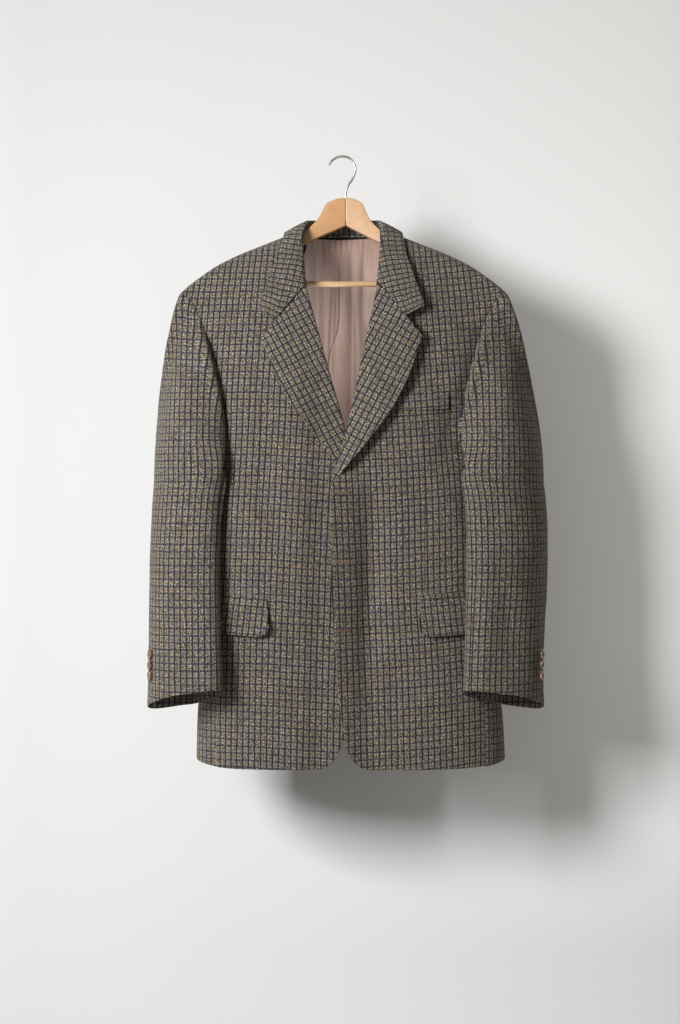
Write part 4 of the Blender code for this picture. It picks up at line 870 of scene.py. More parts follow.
ARMHOLE_FACING = 0.10
SLEEVE_FACING = 0.27
TUCK_REACH = 0.0065
TUCK_DEPTH = 0.0028
Crease = namedtuple("Crease", "x0 z0 x1 z1 width depth")
CREASES = {
    "front_right": (
        Crease(-0.121, -0.260, -0.113, -0.560, 0.011, 0.0014),
        Crease(-0.125, -0.712, -0.132, -0.868, 0.017, 0.0018),
        Crease(-0.062, -0.585, -0.068, -0.840, 0.014, 0.0012),
        Crease(-0.098, -0.540, -0.066, -0.615, 0.013, 0.0010),
        Crease(-0.168, -0.455, -0.128, -0.510, 0.012, 0.0016),
    ),
    "front_left": (
        Crease(0.154, -0.348, 0.149, -0.428, 0.007, 0.0028),
        Crease(0.137, -0.515, 0.160, -0.606, 0.013, 0.0020),
        Crease(0.076, -0.741, 0.071, -0.876, 0.012, 0.0016),
        Crease(0.052, -0.699, 0.053, -0.876, 0.010, -0.0012),
        Crease(0.044, -0.400, 0.042, -1.000, 0.016, 0.0020),
        Crease(0.104, -0.430, 0.086, -0.520, 0.012, 0.0010),
    ),
    "back_right": (
        Crease(-0.120, -0.300, -0.104, -0.520, 0.014, 0.0018),
        Crease(-0.052, -0.560, -0.060, -0.840, 0.016, 0.0016),
        Crease(-0.150, -0.430, -0.100, -0.480, 0.013, 0.0014),
    ),
    "back_left": (
        Crease(0.116, -0.290, 0.108, -0.500, 0.013, 0.0016),
        Crease(0.066, -0.590, 0.058, -0.850, 0.018, 0.0018),
        Crease(0.152, -0.445, 0.108, -0.505, 0.012, 0.0015),
    ),
    "sleeve_top_right": (
        Crease(-0.170, -0.570, -0.236, -0.630, 0.014, 0.0016),
        Crease(-0.172, -0.690, -0.228, -0.730, 0.012, 0.0012),
        Crease(-0.214, -0.300, -0.190, -0.420, 0.012, 0.0012),
    ),
    "sleeve_top_left": (
        Crease(0.230, -0.560, 0.224, -0.790, 0.016, 0.0050),
        Crease(0.229, -0.250, 0.231, -0.640, 0.008, -0.0014),
        Crease(0.180, -0.480, 0.224, -0.540, 0.013, 0.0014),
        Crease(0.196, -0.640, 0.198, -0.745, 0.010, -0.0010),
    ),
    "sleeve_under_right": (Crease(-0.172, -0.520, -0.250, -0.600, 0.014, 0.0020),),
    "sleeve_under_left": (Crease(0.176, -0.530, 0.256, -0.610, 0.014, 0.0020),),
}
Hinge = namedtuple("Hinge", "x0 z0 x1 z1 way slope")
HINGES = {
    "front_left": (Hinge(0.036, -0.440, 0.032, -1.300, -1, -0.36),),
    "sleeve_top_left": (
        Hinge(0.231, -0.260, 0.232, -0.640, 1, 0.20),
        Hinge(0.222, -0.560, 0.216, -1.200, 1, 0.22),
    ),
}
HINGE_ROUND = 0.005
HINGE_BACK = (1.0, 0.35)
HINGE_FADE = 0.060
DARTS = {"front_right": (-0.119, -0.352, -0.636), "front_left": (0.1155, -0.386, -0.632)}
DART_FAR = 1.0


def colour_setting(name, description, default):
    return bpy.props.FloatVectorProperty(
        name=name, description=description, default=default, subtype="COLOR", size=3, min=0.0, max=1.0
    )


def length_setting(name, description, default):
    return bpy.props.FloatProperty(name=name, description=description, default=default, unit="LENGTH", min=0.0)


class WoolSettings(bpy.types.PropertyGroup):
    """Threads of the checked wool, and the size of its check."""

    cream: colour_setting("Cream", "Colour of the light threads", (0.138, 0.127, 0.113))
    brown: colour_setting("Brown", "Colour of the olive brown threads", (0.108, 0.090, 0.058))
    navy: colour_setting("Navy", "Colour of the dark threads that draw the check", (0.006, 0.007, 0.019))
    olive: colour_setting("Olive", "Colour of the yellow flecks", (0.166, 0.138, 0.056))
    rust: colour_setting("Rust", "Colour of the red flecks", (0.168, 0.083, 0.059))
    grey: colour_setting("Grey", "Colour of the cool flecks", (0.086, 0.092, 0.103))
    check_width: length_setting("Check width", "Width of one repeat of the check", 0.0087)
    check_height: length_setting("Check height", "Height of one repeat of the check", 0.0099)


class TrimSettings(bpy.types.PropertyGroup):
    """Lining, buttons and thread."""

    lining: colour_setting("Lining", "Colour of the satin lining", (0.262, 0.176, 0.145))
    horn: colour_setting("Horn", "Darker colour of the buttons", (0.060, 0.028, 0.014))
    horn_pale: colour_setting("Pale horn", "Lighter colour of the buttons", (0.250, 0.145, 0.085))
    thread: colour_setting("Thread", "Colour of the buttonhole thread", (0.190, 0.120, 0.075))


class HangerSettings(bpy.types.PropertyGroup):
    """Wood and wire of the hanger."""

    wood: colour_setting("Wood", "Colour of the varnished wood", (0.430, 0.236, 0.108))
    # Painted light: a lighter, lit copy of the same wood, standing in for the key light falling more fully on the arm
    # on the viewer's right and on the bar.
    wood_painted_lit: colour_setting("Light wood", "Colour of the lighter half", (0.470, 0.292, 0.162))
    wire: colour_setting("Wire", "Colour of the hook", (0.600, 0.600, 0.590))


class StageSettings(bpy.types.PropertyGroup):
    """Backdrop and lights."""

    backdrop: colour_setting("Backdrop", "Colour of the floor and wall", (0.950, 0.955, 0.955))
    key_power: bpy.props.FloatProperty(
        name="Key power", description="Power of the main soft light", default=86.0, unit="POWER", min=0.0
    )
    neck_power: bpy.props.FloatProperty(
        name="Neck power", description="Power of the small light inside the neck", default=0.20, unit="POWER", min=0.0
    )


def feed(tree, socket, given):
    """Links a socket to another, or sets its own value."""
    if isinstance(given, bpy.types.NodeSocket):
        tree.links.new(given, socket)
    else:
        socket.default_value = given


def calculate(tree, operation, *given):
    node = tree.nodes.new("ShaderNodeMath")
    node.operation = operation
    for socket, value in zip(node.inputs, given):
        feed(tree, socket, value)
    return node.outputs[0]


def blended(tree, factor, first, second, how="MIX"):
    node = tree.nodes.new("ShaderNodeMix")
    node.data_type = "RGBA"
    node.blend_type = how
    colours = [socket for socket in node.inputs if socket.type == "RGBA"]
    feed(tree, node.inputs["Factor"], factor)
    feed(tree, colours[0], first)
    feed(tree, colours[1], second)
    return next(socket for socket in node.outputs if socket.type == "RGBA")


def opaque(colour):
    return (*colour, 1.0)


def joined_vector(tree, x, y):
    node = tree.nodes.new("ShaderNodeCombineXYZ")
    feed(tree, node.inputs["X"], x)
    feed(tree, node.inputs["Y"], y)
    return node.outputs[0]


def noise(tree, place, scale, detail=2.0, output="Fac"):
    node = tree.nodes.new("ShaderNodeTexNoise")
    feed(tree, node.inputs["Vector"], place)
    node.inputs["Scale"].default_value = scale
    node.inputs["Detail"].default_value = detail
    return node.outputs[output]


def random_cell(tree, x, y):
    """Three random values for each whole pair of numbers."""
    node = tree.nodes.new("ShaderNodeTexWhiteNoise")
    node.noise_dimensions = "2D"
    feed(tree, node.inputs["Vector"], joined_vector(tree, x, y))
    parts = tree.nodes.new("ShaderNodeSeparateColor")
    tree.links.new(node.outputs["Color"], parts.inputs[0])
    return parts.outputs


def ranged(tree, value, low, high, new_low, new_high, smooth=True):
    node = tree.nodes.new("ShaderNodeMapRange")
    node.interpolation_type = "SMOOTHSTEP" if smooth else "LINEAR"
    feed(tree, node.inputs["Value"], value)
    node.inputs["From Min"].default_value = low
    node.inputs["From Max"].default_value = high
    node.inputs["To Min"].default_value = new_low
    node.inputs["To Max"].default_value = new_high
    return node.outputs[0]


def mapped(tree, place, scale=(1.0, 1.0, 1.0), turn=(0.0, 0.0, 0.0)):
    node = tree.nodes.new("ShaderNodeMapping")
    tree.links.new(place, node.inputs["Vector"])
    node.inputs["Scale"].default_value = scale
    node.inputs["Rotation"].default_value = turn
    return node.outputs[0]


def new_group(name, inputs, outputs):
    """A shader node group with named sockets, and its inner ends."""
    tree = bpy.data.node_groups.new(name, "ShaderNodeTree")
    for socket, kind in inputs:
        tree.interface.new_socket(socket, in_out="INPUT", socket_type=kind)
    for socket, kind in outputs:
        tree.interface.new_socket(socket, in_out="OUTPUT", socket_type=kind)
    return tree, tree.nodes.new("NodeGroupInput").outputs, tree.nodes.new("NodeGroupOutput").inputs


THREADS_IN_CHECK = 8.0
NAVY_THREADS = 1.5
BROWN_THREAD = 4.5
THREAD_DRIFT = 0.0011
DRIFT_SCALE = 55.0
SLUB_LENGTH = 9.0
CLOUD_SCALE = 38.0
TINT_SCALE = 620.0
NAP_SCALE = 430.0
HAIR_SCALE = 800.0
FUZZ_SCALE = 1500.0
STRONG_WARP = 0.94
STRONG_WEFT = 0.95
WEAK_WEFT = 0.84


def thread_kinds(tree, thread):
    """Whether a numbered thread is navy, and whether it is brown."""
    order = calculate(tree, "FLOORED_MODULO", thread, THREADS_IN_CHECK)
    navy = calculate(tree, "LESS_THAN", order, NAVY_THREADS)
    brown = calculate(tree, "COMPARE", order, BROWN_THREAD, 0.75)
    return navy, brown


def thread_place(tree, place, size):
    """Which thread a place is on, as a whole number, and how far across that thread it is."""
    value = calculate(tree, "MULTIPLY", calculate(tree, "DIVIDE", place, size), THREADS_IN_CHECK)
    return calculate(tree, "FLOOR", value), calculate(tree, "FRACT", value)


def rounded(tree, part):
    """The round back of a thread, from nought at its sides to one on top."""
    rest = calculate(tree, "SUBTRACT", 1.0, part)
    return calculate(tree, "MULTIPLY", calculate(tree, "MULTIPLY", part, rest), 4.0)


def weave_shade(tree, place, end, pick, cell):
    """Uneven brightness: single stitches, thick and thin stretches of thread, nap, and broad clouds."""
    long_pick = calculate(tree, "FLOOR", calculate(tree, "DIVIDE", pick, SLUB_LENGTH))
    long_end = calculate(tree, "FLOOR", calculate(tree, "DIVIDE", end, SLUB_LENGTH))
    slub = calculate(tree, "ADD", random_cell(tree, end, long_pick)[0], random_cell(tree, long_end, pick)[1])
    shade = calculate(tree, "MULTIPLY_ADD", slub, 0.22, 0.78)
    shade = calculate(tree, "MULTIPLY", shade, ranged(tree, cell, 0.0, 1.0, 0.50, 1.50, False))
    nap = noise(tree, place, NAP_SCALE, 1.0)
    shade = calculate(tree, "MULTIPLY", shade, ranged(tree, nap, 0.30, 0.70, 0.45, 1.55))
    hairs = noise(tree, place, HAIR_SCALE, 1.0)
    shade = calculate(tree, "MULTIPLY", shade, ranged(tree, hairs, 0.32, 0.68, 0.45, 1.55))
    cloud = noise(tree, place, CLOUD_SCALE, 3.0)
    return calculate(tree, "MULTIPLY", shade, ranged(tree, cloud, 0.3, 0.7, 0.92, 1.08))


def checked_twill():
    """A two-and-two twill of cream and brown, with two navy threads in each check that float longer."""
    found = bpy.data.node_groups.get("checked_twill")
    if found:
        return found
    colours = [(name, "NodeSocketColor") for name in ("Cream", "Brown", "Navy", "Olive", "Rust", "Grey")]
    sizes = [("Check Width", "NodeSocketFloat"), ("Check Height", "NodeSocketFloat")]
    inputs = [("Place", "NodeSocketVector"), *sizes, *colours]
    tree, given, result = new_group(
        "checked_twill", inputs, [("Color", "NodeSocketColor"), ("Height", "NodeSocketFloat")]
    )
    drift = tree.nodes.new("ShaderNodeVectorMath")
    drift.operation = "MULTIPLY_ADD"
    tree.links.new(noise(tree, given["Place"], DRIFT_SCALE, output="Color"), drift.inputs[0])
    drift.inputs[1].default_value = (THREAD_DRIFT, THREAD_DRIFT, 0.0)
    tree.links.new(given["Place"], drift.inputs[2])
    parts = tree.nodes.new("ShaderNodeSeparateXYZ")
    tree.links.new(drift.outputs[0], parts.inputs[0])
    end, end_part = thread_place(tree, parts.outputs["X"], given["Check Width"])
    pick, pick_part = thread_place(tree, parts.outputs["Y"], given["Check Height"])
    navy_end, brown_end = thread_kinds(tree, end)
    navy_pick, brown_pick = thread_kinds(tree, pick)
    step = calculate(tree, "FLOORED_MODULO", calculate(tree, "ADD", end, pick), 4.0)
    over = calculate(tree, "LESS_THAN", step, 1.5)
    warp = blended(tree, brown_end, given["Cream"], given["Brown"])
    weft = blended(tree, brown_pick, given["Cream"], given["Brown"])
    colour = blended(tree, over, weft, warp)
    cell = random_cell(tree, end, pick)
    olive = calculate(tree, "MULTIPLY", calculate(tree, "GREATER_THAN", cell[1], 0.93), 0.8)
    rust = calculate(tree, "MULTIPLY", calculate(tree, "GREATER_THAN", cell[2], 0.95), 0.7)
    tint = noise(tree, given["Place"], TINT_SCALE, 1.0, "Color")
    tints = tree.nodes.new("ShaderNodeSeparateColor")
    tree.links.new(tint, tints.inputs[0])
    colour = blended(tree, ranged(tree, tints.outputs[0], 0.50, 0.72, 0.0, 0.75), colour, given["Olive"])
    colour = blended(tree, ranged(tree, tints.outputs[1], 0.55, 0.75, 0.0, 0.45), colour, given["Rust"])
    colour = blended(tree, ranged(tree, tints.outputs[2], 0.50, 0.72, 0.0, 0.70), colour, given["Grey"])
    colour = blended(tree, olive, colour, given["Olive"])
    colour = blended(tree, rust, colour, given["Rust"])
    check_row = calculate(tree, "FLOOR", calculate(tree, "DIVIDE", pick, THREADS_IN_CHECK))
    third = calculate(tree, "LESS_THAN", calculate(tree, "FLOORED_MODULO", check_row, 3.0), 0.5)
    weft_share = calculate(tree, "MULTIPLY_ADD", third, STRONG_WEFT - WEAK_WEFT, WEAK_WEFT)
    dark_end = calculate(tree, "MULTIPLY", navy_end, STRONG_WARP)
    dark_pick = calculate(tree, "MULTIPLY", navy_pick, calculate(tree, "GREATER_THAN", step, 0.5))
    dark_pick = calculate(tree, "MULTIPLY", dark_pick, weft_share)
    colour = blended(tree, calculate(tree, "MAXIMUM", dark_end, dark_pick), colour, given["Navy"])
    shade = weave_shade(tree, given["Place"], end, pick, cell[0])
    grey = tree.nodes.new("ShaderNodeCombineColor")
    for socket in grey.inputs:
        tree.links.new(shade, socket)
    tree.links.new(blended(tree, 1.0, colour, grey.outputs[0], "MULTIPLY"), result["Color"])
    warp_round = calculate(tree, "MULTIPLY", rounded(tree, end_part), over)
    weft_round = calculate(tree, "MULTIPLY", rounded(tree, pick_part), calculate(tree, "SUBTRACT", 1.0, over))
    fuzz = noise(tree, given["Place"], FUZZ_SCALE, 1.0)
    height = calculate(tree, "ADD", warp_round, weft_round)
    tree.links.new(calculate(tree, "MULTIPLY_ADD", fuzz, 0.8, height), result["Height"])
    return tree


def new_material(name):
    """An empty node material with its Principled shader and output."""
    made = bpy.data.materials.new(name)
    made.use_nodes = True
    return made, made.node_tree, made.node_tree.nodes["Principled BSDF"]


def add_bump(tree, shader, height, distance, strength=1.0):
    bump = tree.nodes.new("ShaderNodeBump")
    bump.inputs["Strength"].default_value = strength
    bump.inputs["Distance"].default_value = distance
    tree.links.new(height, bump.inputs["Height"])
    tree.links.new(bump.outputs["Normal"], shader.inputs["Normal"])


DART_WIDTH = 0.0011
THREAD_RELIEF = 0.00045


def wool_material(settings):
    """Checked tweed: hairy, dull, with a little sheen at its edges."""
    found = bpy.data.materials.get("checked_wool")
    if found:
        return found
    made, tree, shader = new_material("checked_wool")
    place = tree.nodes.new("ShaderNodeUVMap")
    place.uv_map = "grain"
    weave = tree.nodes.new("ShaderNodeGroup")
    weave.node_tree = checked_twill()
    tree.links.new(place.outputs["UV"], weave.inputs["Place"])
    weave.inputs["Check Width"].default_value = settings.check_width
    weave.inputs["Check Height"].default_value = settings.check_height
    for name in ("cream", "brown", "navy", "olive", "rust", "grey"):
        weave.inputs[name.title()].default_value = opaque(getattr(settings, name))
    marks = tree.nodes.new("ShaderNodeAttribute")
    marks.attribute_name = "marks"
    parts = tree.nodes.new("ShaderNodeSeparateXYZ")
    tree.links.new(marks.outputs["Vector"], parts.inputs[0])
    aside = calculate(tree, "ABSOLUTE", parts.outputs["X"])
    dart = calculate(tree, "MULTIPLY", ranged(tree, aside, 0.0, DART_WIDTH, 1.0, 0.0), parts.outputs["Y"])
    colour = blended(
        tree, calculate(tree, "MULTIPLY", dart, 0.75), weave.outputs["Color"], opaque(settings.navy)
    )
    tree.links.new(colour, shader.inputs["Base Color"])
    height = calculate(tree, "MULTIPLY_ADD", dart, -2.0, weave.outputs["Height"])
    add_bump(tree, shader, height, THREAD_RELIEF, 0.6)
    shader.inputs["Roughness"].default_value = 0.92
    shader.inputs["Specular IOR Level"].default_value = 0.18
    shader.inputs["Sheen Weight"].default_value = 0.12
    shader.inputs["Sheen Roughness"].default_value = 0.55
    shader.inputs["Sheen Tint"].default_value = (0.80, 0.74, 0.62, 1.0)
    return made


def lining_material(settings):
    """Satin lining: fine upright ribs and soft cloudy shine."""
    found = bpy.data.materials.get("satin_lining")
    if found:
        return found
    made, tree, shader = new_material("satin_lining")
    place = tree.nodes.new("ShaderNodeUVMap")
    place.uv_map = "grain"
    streaks = noise(tree, mapped(tree, place.outputs["UV"], (900.0, 18.0, 1.0)), 1.0, 3.0)
    cloud = noise(tree, place.outputs["UV"], 26.0, 3.0)
    dark = opaque([channel * 0.80 for channel in settings.lining])
    pale = opaque([min(1.0, channel * 1.14) for channel in settings.lining])
    colour = blended(tree, ranged(tree, streaks, 0.25, 0.75, 0.0, 1.0), dark, pale)
    soft = blended(tree, ranged(tree, cloud, 0.3, 0.7, 0.0, 0.5), colour, opaque(settings.lining))
    tree.links.new(soft, shader.inputs["Base Color"])
    tree.links.new(ranged(tree, cloud, 0.3, 0.7, 0.42, 0.56), shader.inputs["Roughness"])
    add_bump(tree, shader, streaks, 0.0001, 0.5)
    shader.inputs["Specular IOR Level"].default_value = 0.35
    shader.inputs["Sheen Weight"].default_value = 0.10
    return made


GRAIN_STRETCH = (9.0, 90.0, 90.0)


def wood_material(name, colour, lean):
    """Varnished wood whose grain runs along the piece, leaning by an angle about Y."""
    made, tree, shader = new_material(name)
    place = tree.nodes.new("ShaderNodeTexCoord").outputs["Object"]
    along_grain = mapped(tree, mapped(tree, place, turn=(0.0, lean, 0.0)), GRAIN_STRETCH)
    rings = noise(tree, along_grain, 1.6, 4.0)
    pores = noise(tree, mapped(tree, mapped(tree, place, turn=(0.0, lean, 0.0)), (120.0, 1500.0, 1500.0)), 1.0, 2.0)
    bands = calculate(tree, "FRACT", calculate(tree, "MULTIPLY", rings, 7.0))
    dark = opaque([channel * 0.80 for channel in colour])
    pale = opaque([min(1.0, channel * 1.10) for channel in colour])
    wood = blended(tree, ranged(tree, bands, 0.0, 1.0, 0.0, 1.0), pale, dark)
    wood = blended(tree, 0.45, opaque(colour), wood)
    wood = blended(tree, ranged(tree, pores, 0.58, 0.75, 0.0, 0.30), wood, dark)
    tree.links.new(wood, shader.inputs["Base Color"])
    tree.links.new(ranged(tree, pores, 0.3, 0.8, 0.36, 0.55), shader.inputs["Roughness"])
    add_bump(tree, shader, pores, 0.0002, 0.25)
    shader.inputs["Coat Weight"].default_value = 0.18
    shader.inputs["Coat Roughness"].default_value = 0.30
    return made


def horn_material(settings):
    """Mottled horn, polished, with pale streaks."""
    found = bpy.data.materials.get("horn")
    if found and found.get("dressed"):
        return found
    made, tree, shader = new_material("dressed_horn")
    made["dressed"] = True
    place = tree.nodes.new("ShaderNodeTexCoord").outputs["Object"]
    streaks = noise(tree, mapped(tree, place, (90.0, 90.0, 260.0), (0.3, 0.5, 0.2)), 1.0, 4.0)
    specks = noise(tree, place, 900.0, 2.0)
    colour = blended(tree, ranged(tree, streaks, 0.42, 0.66, 0.0, 1.0), opaque(settings.horn), opaque(settings.horn_pale))
    tree.links.new(colour, shader.inputs["Base Color"])
    tree.links.new(ranged(tree, specks, 0.3, 0.7, 0.18, 0.32), shader.inputs["Roughness"])
    shader.inputs["Coat Weight"].default_value = 0.5
    shader.inputs["Coat Roughness"].default_value = 0.12
    return made


def thread_material(settings):
    """Twisted buttonhole thread."""
    found = bpy.data.materials.get("buttonhole_thread")
    if found:
        return found
    made, tree, shader = new_material("buttonhole_thread")
    place = tree.nodes.new("ShaderNodeTexCoord").outputs["Object"]
    fibre = noise(tree, place, 2600.0, 2.0)
    dark = opaque([channel * 0.55 for channel in settings.thread])
    tree.links.new(blended(tree, ranged(tree, fibre, 0.3, 0.7, 0.0, 1.0), dark, opaque(settings.thread)), shader.inputs["Base Color"])
    add_bump(tree, shader, fibre, 0.0002, 0.5)
    shader.inputs["Roughness"].default_value = 0.7
    return made


def wire_material(settings):
    """Drawn steel wire, a little dulled."""
    made, tree, shader = new_material("hook_wire")
    place = tree.nodes.new("ShaderNodeTexCoord").outputs["Object"]
    scratches = noise(tree, mapped(tree, place, (300.0, 300.0, 2400.0)), 1.0, 3.0)
    dull = noise(tree, place, 160.0, 3.0)
    dark = opaque([channel * 0.72 for channel in settings.wire])
    tree.links.new(blended(tree, ranged(tree, dull, 0.35, 0.65, 0.0, 1.0), opaque(settings.wire), dark), shader.inputs["Base Color"])
    tree.links.new(ranged(tree, scratches, 0.3, 0.7, 0.22, 0.42), shader.inputs["Roughness"])
    shader.inputs["Metallic"].default_value = 1.0
    return made


# Painted shade: how dark the backdrop is painted at its lower right.
LOW_SHADE = 0.62


def backdrop_material(settings):
    """Matt paint, seen from its lit side only, with painted shade and painted light: darker towards the left and the
    lower right, and glowing faintly towards the right.
    """
    made, tree, shader = new_material("backdrop_paint_and_painted_light")
    place = tree.nodes.new("ShaderNodeTexCoord").outputs["Object"]
    parts = tree.nodes.new("ShaderNodeSeparateXYZ")
    tree.links.new(place, parts.inputs[0])
    # Painted shade: the backdrop is painted darker towards the left, where the key light falls strongest, to even out
    # its light across the wall.
    across = ranged(tree, parts.outputs["X"], -0.49, 0.50, 0.0, 1.0, False)
    dark = opaque([channel * 0.56 for channel in settings.backdrop])
    paint = blended(tree, across, dark, opaque(settings.backdrop))
    # Painted shade: the lower right of the backdrop is darkened further.
    low = opaque([channel * LOW_SHADE for channel in (1.0, 1.0, 1.0)])
    down = calculate(tree, "MULTIPLY", across, ranged(tree, parts.outputs["Z"], -0.70, -1.20, 0.0, 1.0, False))
    shaded = blended(tree, down, paint, blended(tree, 1.0, paint, low, "MULTIPLY"))
    tree.links.new(shaded, shader.inputs["Base Color"])
    # Painted light: the backdrop glows faintly in its own colour towards the right, brightening that side and the
    # shadow that falls there.
    painted_glow = ranged(tree, parts.outputs["X"], -0.20, 0.45, 0.0, 1.0, False)
    tree.links.new(blended(tree, painted_glow, (0.0, 0.0, 0.0, 1.0), opaque(settings.backdrop)), shader.inputs["Emission Color"])
    shader.inputs["Emission Strength"].default_value = 0.08
    shader.inputs["Roughness"].default_value = 0.95
    clear = tree.nodes.new("ShaderNodeBsdfTransparent")
    choose = tree.nodes.new("ShaderNodeMixShader")
    tree.links.new(tree.nodes.new("ShaderNodeNewGeometry").outputs["Backfacing"], choose.inputs["Fac"])
    tree.links.new(shader.outputs[0], choose.inputs[1])
    tree.links.new(clear.outputs[0], choose.inputs[2])
    output = next(node for node in tree.nodes if node.type == "OUTPUT_MATERIAL")
    tree.links.new(choose.outputs[0], output.inputs["Surface"])
    return made


def rimmed(grid):
    """Adds rows and columns close to a grid's four edges, for its rounded rims."""
    for axis in (0, 1):
        lines = np.moveaxis(grid, axis, 0)
        near = []
        far = []
        for share in RIM_SHARES:
            for kept, edge, inner in ((near, lines[0], lines[1]), (far, lines[-1], lines[-2])):
                step = inner - edge
                length = np.maximum(np.linalg.norm(step, axis=-1, keepdims=True), TINY)
                kept.append((edge + step * share * np.minimum(1.0, RIM_WIDTH / length))[None])
        lines = np.concatenate([lines[:1], *near, lines[1:-1], *far[::-1], lines[-1:]])
        grid = np.moveaxis(lines, 0, axis)
    return grid


def rim_dip(count):
    """How far each line of a grid is rounded down, as a share, by its distance from the two ends."""
    dip = np.zeros(count)
    for k, share in enumerate(RIM_DIPS):
        dip[k] = max(dip[k], share)
        dip[count - 1 - k] = max(dip[count - 1 - k], share)
    return dip


def steps_along(points, axis):
    """Running length along one axis of a grid, from its first line."""
    step = np.linalg.norm(np.diff(points, axis=axis), axis=-1)
    start = np.zeros_like(np.take(step, [0], axis=axis))
    return np.concatenate([start, np.cumsum(step, axis=axis)], axis=axis)


def waves(x, z, seed):
    """Low uneven waves, from minus one to one."""
    chance = np.random.default_rng(seed + 1)
    total = np.zeros(np.broadcast(x, z).shape)
    for length in (0.16, 0.11, 0.075, 0.052, 0.037):
        turn = chance.uniform(0.0, math.pi)
        shift = chance.uniform(0.0, 2.0 * math.pi, 2)
        across = x * math.cos(turn) + z * math.sin(turn)
        beside = z * math.cos(turn) - x * math.sin(turn)
        bent = across + 0.012 * np.sin(beside / 0.05 + shift[0])
        total = total + np.sin(2.0 * math.pi * bent / length + shift[1]) * (length / 0.16)
    return total / 2.5


def crease_depth(creases, x, z):
    """Soft troughs, or ridges where the depth is negative, along lines that wander a little."""
    deep = np.zeros(np.broadcast(x, z).shape)
    for number, crease in enumerate(creases):
        run = np.array([crease.x1 - crease.x0, crease.z1 - crease.z0])
        length = np.linalg.norm(run)
        run = run / length
        share = ((x - crease.x0) * run[0] + (z - crease.z0) * run[1]) / length
        aside = (z - crease.z0) * run[0] - (x - crease.x0) * run[1]
        aside = aside + crease.width * 0.4 * np.sin(2.0 * math.pi * (1.3 * share + 0.37 * number))
        ends = np.sin(math.pi * np.clip(share, 0.0, 1.0)) ** 0.8
        uneven = 0.8 + 0.2 * np.sin(2.0 * math.pi * (2.1 * share + 0.61 * number))
        deep = deep + crease.depth * uneven * ends * np.exp(-((aside / crease.width) ** 2))
    return deep


def away_from(grid, sewn):
    """Fades from nought at a panel's sewn edges to one inside it."""
    fade = np.ones(grid.shape[:2])
    down = steps_along(grid, 0)
    out = steps_along(grid, 1)
    reach = {"top": down, "foot": down[-1:] - down, "first": out, "last": out[:, -1:] - out}
    for edge in sewn:
        fade = fade * smoothstep(0.0, SEWN_REACH, reach[edge])
    return fade


def hinged(grid, name):
    """Turns strips of cloth forward or back from upright lines, as stiff cloth hangs from its edges."""
    moved = grid.copy()
    x, y, z = np.moveaxis(grid, -1, 0)
    foremost = y.min(axis=1, keepdims=True)
    facing = smoothstep(*HINGE_BACK, (y - foremost) / (y.max(axis=1, keepdims=True) - foremost))
    for hinge in HINGES.get(name, ()):
        line = mix(hinge.x0, hinge.x1, (z - hinge.z0) / (hinge.z1 - hinge.z0))
        beyond = hinge.way * (x - line) / HINGE_ROUND
        reach = HINGE_ROUND * np.logaddexp(0.0, beyond) * facing
        fade = smoothstep(hinge.z0, hinge.z0 - HINGE_FADE, z) * smoothstep(hinge.z1, hinge.z1 + HINGE_FADE, z)
        moved[..., 1] += hinge.slope * reach * fade
    return moved


FOLD_TOP = (-0.235, -0.285)
FOLD_FOOT = (-0.475, -0.430)
FOLD_FRONT = (0.010, -0.030)
SEAM_SINK = 0.0045
SEAM_SINK_REACH = 0.011
ROLL_RISE = 0.0085
ROLL_IN = 0.0050
ROLL_PLACE = 0.012
ROLL_REACH = 0.010
ROLL_FOOT = (-0.425, -0.320)
HOLLOW_OUT = (0.225, 0.190)
HOLLOW_FILL = 0.0048
HOLLOW_HEIGHT = -0.457
HOLLOW_REACH = 0.028


def armhole_fold(grid, side, away, is_sleeve):
    """Moves cloth near the front of an armhole: the seam sinks, and the sleeve rolls forward over it."""
    z = grid[..., 2]
    share = smoothstep(*FOLD_TOP, z) * smoothstep(*FOLD_FOOT, z) * smoothstep(*FOLD_FRONT, grid[..., 1])
    moved = grid.copy()
    moved[..., 1] += SEAM_SINK * share * np.exp(-((away / SEAM_SINK_REACH) ** 2))
    if is_sleeve:
        roll = share * np.exp(-(((away - ROLL_PLACE) / ROLL_REACH) ** 2)) * smoothstep(0.0, ROLL_PLACE, away)
        roll = roll * smoothstep(*ROLL_FOOT, z)
        moved[..., 1] -= ROLL_RISE * roll
        moved[..., 0] -= side * ROLL_IN * roll
        inner = smoothstep(*HOLLOW_OUT, side * grid[..., 0]) * smoothstep(*FOLD_FRONT, grid[..., 1])
        fill = np.exp(-(((z - HOLLOW_HEIGHT) / HOLLOW_REACH) ** 2))
        moved[..., 0] -= side * HOLLOW_FILL * inner * fill
    return moved


def draped(grid, name, seed, sewn=("top", "foot", "first", "last"), wave=WAVE_DEPTH):
    """Puts a panel's creases and waves into its points, and rounds its rims."""
    normals = grid_normals(grid)
    fade = away_from(grid, sewn)
    deep = crease_depth(CREASES.get(name, ()), grid[..., 0], grid[..., 2]) * fade
    deep = deep + wave * waves(grid[..., 0] + grid[..., 1], grid[..., 2], seed) * fade
    dip = np.maximum(rim_dip(grid.shape[0])[:, None], rim_dip(grid.shape[1])[None, :])
    return grid - normals * (deep + RIM_DROP * dip)[..., None]


def panel_grain(grid, side, level):
    """Place on the cloth's flat grain: across from the panel's first column, and down from a level row."""
    level_row = int(np.argmin(np.abs(grid[:, 0, 2] - level)))
    across = grid[:, :1, 0] + side * steps_along(grid[..., :2], 1)
    down = steps_along(grid[..., 1:], 0)
    down = grid[level_row, :, 2] - (down - down[level_row])
    return np.stack([across, down], axis=-1)


